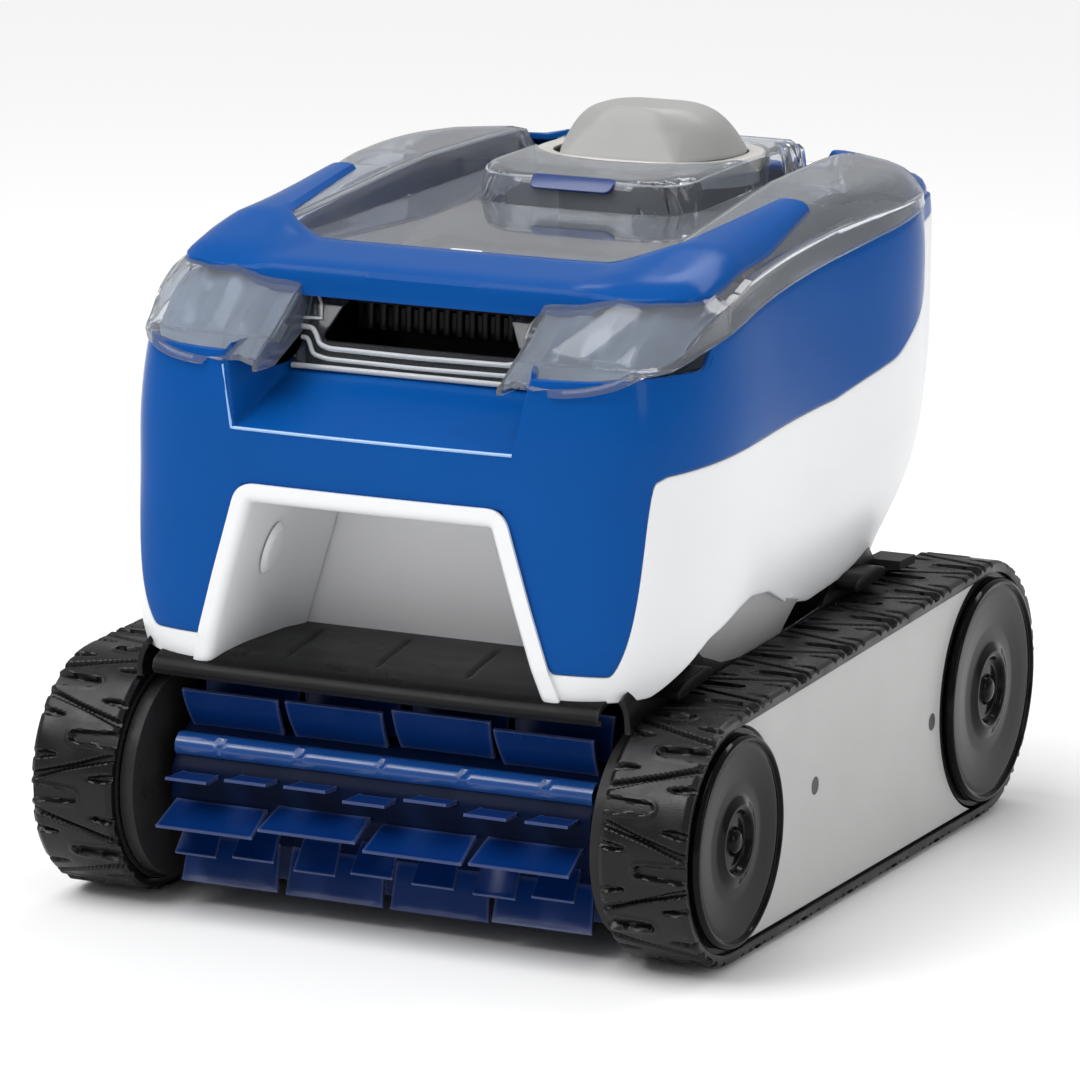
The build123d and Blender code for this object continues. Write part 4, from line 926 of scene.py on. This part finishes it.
def bar_along(path, radius, sides=10):
    """A round bar with closed ends along a path."""
    path = np.array(path, float)
    ahead = unit(np.gradient(path, axis=0))
    across = unit(np.cross(ahead, (0.0, -0.6, 1.0)))
    cos, sin = (f(circle(sides))[:, None] for f in (np.cos, np.sin))
    return tube([p + radius * (cos * a + sin * b) for p, a, b in zip(path, across, np.cross(across, ahead))], True)


def bar_top(x, y):
    """Upper face of the handle: nearly level along the front, riding the lid's rim on the arms."""
    middle = line([(-131, 272.2), (-93, 277.8), (-60, 282)], y)
    return middle + (lid_top(x, y) + 1.4 - middle) * smooth(66, 92, np.abs(x))


def handle():
    """Blue carrying handle on the lid: creased front bar and two tapering arms."""
    outer = [(113.5, 4), (118, -50), (120, -100), (119, -116), (113, -124), (100, -128.5), (76, -131), (0, -131.5)]
    inner = [(103, 3), (99, -28), (94.5, -62), (92, -78), (85, -85), (68, -93), (50, -94), (0, -94)]
    halves = evenly(rounded_profile(outer, 5, 5), 110), evenly(rounded_profile(inner, 6, 5), 110)
    outer, inner = (np.concatenate([half, half[-2::-1] * [-1, 1]]) for half in halves)
    x, y = outer.T
    front = smooth(88, 70, np.abs(x)) * (y < -100)
    crease_z = bar_top(x, y)
    low_z = crease_z - 2.2 - 8.0 * front
    rows = [xyz(x, y - front * (1 - t) - 0.15, low_z + (crease_z - low_z) * t) for t in (0.0, 0.33, 0.66, 0.9)]
    for t in (0.0, 0.03, 0.08, 0.2, 0.35, 0.5, 0.65, 0.8, 0.92, 0.97, 1.0):
        spot = outer + (inner - outer) * (0.012 + 0.988 * t)
        crown = 0.7 * smooth(0.0, 0.12, t) * smooth(1.0, 0.9, t) - 0.8 * smooth(0.93, 1.0, t)
        rows.append(np.column_stack([spot, bar_top(*spot.T) + crown]))
    bar = made("lid_handle_blue", skin(rows, 2.6, False, 1.0, 0.5), "lid_assembly", "blue_shell", sharp=28)
    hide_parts("lid_handle")
    outline = rounded_profile([(0, -99), (7.5, -99), (7.5, -91), (-7.5, -91), (-7.5, -99), (0, -99)], 1.5)[:-1]
    tab = slab(outline, 2.0, 0.5, lambda u, v, w: (u, v, float(bar_top(u, v)) + w))
    made("lid_tab", tab, "lid_assembly", "white_shell")


def badge():
    """Blank dark-blue badge on the lid, in front of the hood."""
    outline = rounded_profile([(0, -4.4), (19, -4.4), (20.5, 4.4), (-20.5, 4.4), (-19, -4.4), (0, -4.4)], 3.0, 5)[:-1]
    base = float(lid_top(0.0, 19.0)) - 1.6
    plate = slab(outline, 1.4, 0.5, lambda u, v, w: (u, 13.0 + 0.8 * v - 0.6 * w, base + 0.6 * v + 0.8 * w))
    piece = made("badge_blank", plate, "lid_assembly", "badge_blue", "blue_shell")
    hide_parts("lid_badge")


def window_trim():
    """Clear moulded rims along the deck walls and the plinth's edge."""
    runs = []
    ys = np.linspace(-80, 146, 60)
    for side in (1, -1):
        xs = side * (line(WINDOW_SIDE, ys) + 2.2)
        runs.append(bar_along(xyz(xs, ys, lid_top(xs, ys) + 0.1), 0.7, 8))
    plinth = rounded_profile([(PLINTH_X, 120), (PLINTH_X, PLINTH_Y), (-PLINTH_X, PLINTH_Y), (-PLINTH_X, 120)], 24, 8)
    path = []
    for (x0, y0), (x1, y1) in zip(plinth, plinth[1:]):
        steps = max(1, int(math.hypot(x1 - x0, y1 - y0) / 5))
        path += [(x0 + (x1 - x0) * k / steps, y0 + (y1 - y0) * k / steps + 2.0) for k in range(steps)]
    x, y = np.array(path).T
    runs.append(bar_along(xyz(x, y, lid_top(x, y) + 0.05), 0.55, 8))
    # The rims take the paler, less clear plastic: a painted highlight.
    made("window_rim", joined(runs), "lid_assembly", "clear_painted_highlight", "clear_lid", 60)


# --- outlet hood
HOOD_BASE, HOOD_TOP = 299.3, 321.5


def outlet_hood():
    """Grey hood over the pump outlet on a cream ring: flat raked front, flaring sides, rounded top."""
    rows = []
    for step in np.linspace(0, 0.975, 34):
        left = (1 - step) ** 3
        h = 1 - left
        front = 59 + 8 * h + 8 * (1 - left ** 0.5)
        rear = 136 - 8 * h - 26 * (1 - left ** 0.4)
        half = 41.5 * left ** 0.227
        front_half = 28.5 * left ** 0.25 * (1 - 0.15 * h)
        middle = (front + rear) / 2
        plan = [(0, front), (front_half, front + 0.3), (half, middle - 8), (half, middle + 12),
                (half * 0.7, rear), (0, rear)]
        right = rounded_profile(plan[:3], 1.5 + 14 * h, 6)[:-1] + rounded_profile(plan[1:], 40, 8)[1:]
        ring = np.array(right + [p * [-1, 1] for p in right[-2:0:-1]])
        rows.append(xyz(*ring.T, HOOD_BASE + (HOOD_TOP - HOOD_BASE) * h))
    centre_y = rows[-1][:, 1].mean()
    rows.append(rows[-1] * [0.02, 0.02, 1] + [0, 0.98 * centre_y, 0.02])
    hood = made("hood_grey", skin(rows, 2.2, True, 1.0, 0.3), "chassis", "hood_grey")
    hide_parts("outlet_hood")
    c, s = np.cos(circle(96)), np.sin(circle(96))
    round_x, round_y = (np.sign(v) * np.abs(v) ** 0.72 for v in (c, s))
    rows = []
    for out, lift in ((0, 293.0 - HOOD_BASE), (0, -1.0), (0.4, 0.1), (1.2, 0.7), (2.4, 0.9), (8.0, 0.3)):
        x, y = (50.5 - out) * round_x, HOOD_Y + (43.5 - out) * round_y
        rows.append(xyz(x, y, HOOD_BASE + lift))
    made("hood_ring", skin(rows, 1.4, True, 1.0, 0.3), "chassis", "cream_rim")


# --- front pocket and apron
def front_y(x, z):
    """Front face of the body at (x, z)."""
    return body_value(np.abs(x), z, PLACES <= FRONT_WALK, 0, 1)


PROUD = 0.3
POCKET_BACK_Y = -105.5


def pocket():
    """White liner: a flush lip round the opening that turns back into a tapering pocket."""
    corners = [(-84.9, 110.8), (-61.5, 189.6), (61.5, 189.6), (84.9, 110.8)]
    outline = evenly(rounded_profile(corners, 8, 8), 150)
    along = unit(np.gradient(outline, axis=0))
    inward = np.stack([along[:, 1], -along[:, 0]], -1)
    lip, roll = 6.2, 1.6
    insets = [(inset, 0) for inset in (0.0, 0.5, 2.0, 4.0, lip - roll)]
    insets += [(lip - roll + roll * math.sin(a), roll * (1 - math.cos(a))) for a in np.radians([30, 60, 90])]
    rows = []
    for inset, back in insets:
        x, z = (outline + inward * inset).T
        rows.append(xyz(x, front_y(x, z) - PROUD + back, z))
    edge_y = rows[-1][:, 1]
    for t in (0.08, 0.25, 0.45, 0.65, 0.82, 0.93, 1.0):
        x, z = (outline + inward * (lip + 4.0 * t + 3.0 * smooth(0.8, 1.0, t))).T
        rows.append(xyz(x, edge_y + (POCKET_BACK_Y - edge_y) * t, z))
    grid = np.array(rows)
    grid[:, :, 2] = np.maximum(grid[:, :, 2], 110.6)
    liner = made("pocket_liner", skin(grid, 2.0, False, 1.0, 0.4), "chassis", "white_shell", sharp=50)
    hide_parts("front_pocket")
    rings = []
    for r, h in rounded_profile([(0.05, 2.2), (7.0, 2.2), (9.0, 0.0)], 1.5)[::-1]:
        y, z = -152 + r * 0.9 * np.cos(circle(40)), 156 + r * 1.3 * np.sin(circle(40))
        rings.append(xyz(0.3027 * (z - 110.8) - 74.2 + h, y, z))
    made("pocket_boss", tube(rings, True), "chassis", "white_shell")


APRON_CURVE = [(-103, 112), (-150, 111.6), (-166, 110.4), (-175, 108.6), (-178.6, 106.6), (-178.4, 104.6),
               (-176.4, 104.4)]


def apron():
    """Black apron over the brush: curved lip and three slanting grooves."""
    curve = evenly(rounded_profile(APRON_CURVE, 5, 5), 60)
    xs = np.linspace(-103.5, 103.5, 240)
    x, y = np.meshgrid(xs, curve[:, 0])
    _, z = np.meshgrid(xs, curve[:, 1])
    slant = x + (y + 112) * 0.18
    long = smooth(-166, -156, y) * smooth(-112, -124, y)
    for middle in (-56, -14, 28):
        z = z - 2.2 * smooth(0.7 + 1.3 * long, 0.2, np.abs(slant - middle)) * long
    y = y + 2.6 * (x / 104) ** 4 * smooth(-150, -176, y)
    piece = made("apron_black", skin(xyz(x, y, z), 2.4, False, 1.0, 0.5), "chassis", "black_plastic", sharp=45)
    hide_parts("front_apron")


ARCH_FRONT, ARCH_BACK = -134.0, -8.0
FENDER_X = 112.6
FENDER_TOP = [(-172, 112), (-160, 117), (-150, 122), (-140, 127), (-126, 131), (-116, 132), (-106, 127), (-92, 116),
              (-72, 109), (-52, 107), (0, 109), (38, 112), (47, 119), (54, 131), (60, 137), (84, 136), (96, 124),
              (106, 116)]


def fenders():
    """Black plates between the shell and the belts, the grey wheel-arch swells above them, and the clips."""
    swells, blacks = [], []
    clip = rounded_profile([(0, 0), (17, 0), (17, 5), (9, 8), (-9, 8), (-17, 5), (-17, 0), (0, 0)], 2.5)[:-1]
    for side in (1, -1):
        ys = np.linspace(-171, 106, 150)
        foot, top = 99 - 11 * smooth(-160, -130, ys), line(FENDER_TOP, ys)
        rows = [xyz(side * (FENDER_X - 3.2 * (1 - t) ** 3), ys, top + (foot - top) * t)
                for t in np.linspace(0, 1, 8)]
        blacks.append(skin(rows, 2.4, False, side, 0.6))
        ys = np.linspace(ARCH_FRONT, ARCH_BACK, 70)
        high = line(WHITE_FOOT, ys) + 3.0
        low = np.minimum(line(FENDER_TOP, ys) - 7.0, high - 1)
        ends = np.sin(math.pi * (ys - ARCH_FRONT) / (ARCH_BACK - ARCH_FRONT))
        rows = []
        for t in np.linspace(0, 1, 16):
            x = side * (118.5 - 12.5 * t ** 0.9 + 3.0 * math.sin(math.pi * t) * ends)
            rows.append(xyz(x, ys, high + (low - high) * t))
        swells.append(skin(rows, 1.8, False, side, 0.4))
        for middle, base, tilt in ((-124, 110, 0.12), (66, 118.5, 0.05)):
            blacks.append(slab(clip, 12, 1.2, lambda u, v, w: (side * (111.5 + w), middle + u,
                                                               base + v * 0.8 + tilt * u)))
    made("fender_black", joined(blacks), "chassis", "black_plastic")
    swell = made("arch_swell", joined(swells), "chassis", "arch_grey", "plate_grey")
    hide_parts("arch_housings")


# --- brush
BRUSH_ROWS = 14
STRIP_TURN = 138.0


def blade(x0, x1, root, tip, angle, lean, curl):
    """One soft blade: a leaning, slightly curled plate with a thickened rim, on the brush axis."""
    u, v = np.meshgrid(np.concatenate([[0, 0.03, 0.06], np.linspace(0.12, 0.88, 7), [0.94, 0.97, 1]]),
                       np.concatenate([np.linspace(0, 0.86, 7), [0.92, 0.96, 1.0]]))
    r = root + (tip - root) * v
    turn = angle + lean * v + curl * v * v
    taper = 1.2 * (1 - v)
    x = x0 + taper + (x1 - x0 - 2 * taper) * u + 1.2 * v ** 2
    rim = np.maximum(smooth(0.10, 0.04, np.minimum(u, 1 - u)), smooth(0.90, 0.95, v))
    half = (1.5 - 0.7 * v + 0.5 * rim) / 2
    cos, sin = np.cos(turn), np.sin(turn)
    both = [xyz(x, FRONT_Y + r * cos - h * sin, FRONT_Z + r * sin + h * cos) for h in (half, -half)]
    rows, cols = x.shape
    size = rows * cols
    faces = grid_faces(rows, cols, False).tolist()
    faces += [[i + size for i in f[::-1]] for f in faces]
    ring = [*range(cols), *range(2 * cols - 1, size, cols), *range(size - 2, size - cols - 1, -1),
            *range(size - 2 * cols, 0, -cols)]
    faces += [[a, b, b + size, a + size] for a, b in zip(ring, ring[1:] + ring[:1])]
    return np.concatenate(both).reshape(-1, 3), faces


def brush_blades(left, right):
    """Rows of long and short gapped blades in turn, round the brush."""
    tip = min(52.2, FRONT_Z - span("brush_sleeve")[0][2])
    shapes = []
    for k in range(1, BRUSH_ROWS):
        angle = math.radians(360 / BRUSH_ROWS * k + STRIP_TURN)
        long = k % 2 == 0 or k == BRUSH_ROWS - 1
        count, gap, reach = (4, 3.2, tip) if long else (7, 8.5, tip - 4.7)
        wide = (right - left) / count
        for i in range(count):
            x0, x1 = left + wide * i + gap / 2, left + wide * (i + 1) - gap / 2
            skew = 0.05 * math.sin(2.4 * i + k)
            shapes.append(blade(max(x0, left + 0.3), min(x1, right - 1.5), 26.2, reach - 0.3, angle + skew,
                                math.radians(9), math.radians(-5)))
    return made("brush_blades", joined(shapes), "brush", "brush_blue", sharp=50)


def brush_roller():
    """Blue brush: sleeve with its blades, and a pinned joint strip."""
    low, high = span("brush_sleeve")
    left, right = low[0], high[0]
    blades = brush_blades(left, right)
    turn, strip_turn = circle(144), math.radians(STRIP_TURN)
    r = 26.6 + 0.35 * np.cos(BRUSH_ROWS * (turn - strip_turn))
    rings = [on_axle(x, r, turn, FRONT_Y, FRONT_Z) for x in np.linspace(left, right, 60)]
    # The sleeve takes the much darker blue: painted shade at the blade roots.
    made("brush_roll", skin(rings, 1.4, True, 1.0, 0.4), "brush", "brush_root_painted_shade", "brush_blue", 50)
    x, a = np.meshgrid(np.linspace(left + 0.4, right - 0.4, 120), np.radians([-9, -8, -4, 0, 4, 8, 9]))
    pin_places = np.linspace(left + 22, right - 22, 5)
    r = 26.4 + 3.0 * smooth(9, 7.0, np.abs(np.degrees(a)))
    for pin_x in pin_places:
        r = r - 0.9 * smooth(2.4, 1.6, np.hypot(x - pin_x, 28 * a))
    strip = skin(on_axle(x, r, strip_turn + a, FRONT_Y, FRONT_Z), 1.2, False, 1.0, 0.2)
    made("brush_strip", strip, "brush", "brush_strip", "brush_blue")
    cos, sin = np.cos(circle(16)), np.sin(circle(16))
    heads = [tube([on_axle(pin_x + radius * cos, 28.4 + lift, strip_turn + radius * sin / 28, FRONT_Y, FRONT_Z)
                   for radius, lift in ((1.7, 0.0), (1.6, 0.5), (1.2, 0.9), (0.4, 1.05))], True)
             for pin_x in pin_places]
    made("brush_pins", joined(heads), "brush", "black_plastic")
    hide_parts("brush_sleeve")


# --- camera, floor and light
def camera():
    """Long lens from the front right, a little above the lid."""
    yaw, pitch, roll = math.radians(25.228), math.radians(11.675), math.radians(0.745)
    data = bpy.data.cameras.new("studio_camera")
    data.lens, data.sensor_width, data.clip_end = 206.96, 36, 20
    eye = placed("studio_camera", data)
    eye.matrix_world = (Matrix.Translation((1.13395, -2.42237, 0.69071)) @ Matrix.Rotation(yaw, 4, "Z")
                        @ Matrix.Rotation(math.pi / 2 - pitch, 4, "X") @ Matrix.Rotation(roll, 4, "Z"))
    bpy.context.scene.camera = eye


def light(kind, name, way, power, **settings):
    """A lamp shining along a direction."""
    data = bpy.data.lights.new(name, kind)
    data.energy = power
    for key, value in settings.items():
        setattr(data, key, value)
    lamp = placed(name, data)
    lamp.rotation_euler = Vector(way).to_track_quat("-Z", "Y").to_euler()
    return lamp


def studio():
    """Pale floor, pale surroundings and broad soft lights."""
    work = bmesh.new()
    bmesh.ops.create_grid(work, x_segments=8, y_segments=8, size=6)
    mesh = bpy.data.meshes.new("studio_floor")
    work.to_mesh(mesh)
    work.free()
    floor = placed("studio_floor", mesh)
    floor.location = (0, 0, -0.0006)
    mesh.materials.append(nodes_of("studio_floor", Base_Color=(0.93, 0.93, 0.93, 1), Roughness=0.75,
                                   Specular_IOR_Level=0.15)[0])
    world = bpy.data.worlds.new("studio")
    world.use_nodes = True
    sky = world.node_tree.nodes["Background"].inputs
    sky["Color"].default_value, sky["Strength"].default_value = (1, 1, 1, 1), 0.46
    bpy.context.scene.world = world
    bpy.context.scene.view_settings.view_transform = "Standard"
    light("SUN", "daylight", (0.45, 0.35, -1), 1.9, angle=math.radians(48))
    for name, place, aim_z, size, power in (("key", (-0.9, -1.5, 1.5), 0.15, (0.9, 0.5), 9),
                                            ("fill", (1.9, -0.5, 0.9), 0.15, (0.5, 1.2), 6),
                                            ("top", (0.1, 0.9, 1.5), 0.25, (1.4, 0.35), 8)):
        way = Vector((0, 0, aim_z)) - Vector(place)
        light("AREA", name, way, power, shape="RECTANGLE", size=size[0], size_y=size[1]).location = place


# --- assembly
def dress_frame():
    """Gives every CAD node the detailed material of its slot."""
    for name, node in NODES.items():
        for place in node.material_slots:
            slot = place.material.name.split(".")[0] if place.material else ""
            place.material = LOOKS["motor_plastic"] if name == "plate_screws" else LOOKS.get(
                slot, LOOKS["black_plastic"])


camera()
studio()
dress_frame()
blue_shell()
white_shell()
for label, side in (("right", 1), ("left", -1)):
    belt(side, label)
    wheel_disc(label, "front", FRONT_R - 2.2, FRONT_Y, FRONT_Z, side)
    wheel_disc(label, "rear", REAR_R - 2.2, REAR_Y, REAR_Z, side)
lid_shell = lid_cover()
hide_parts("lid")
for label, side in (("right", 1), ("left", -1)):
    lens(side, label)
    lens(side, label, 4.5)
grip_plate()
handle()
window_trim()
badge()
outlet_hood()
pocket()
apron()
fenders()
brush_roller()
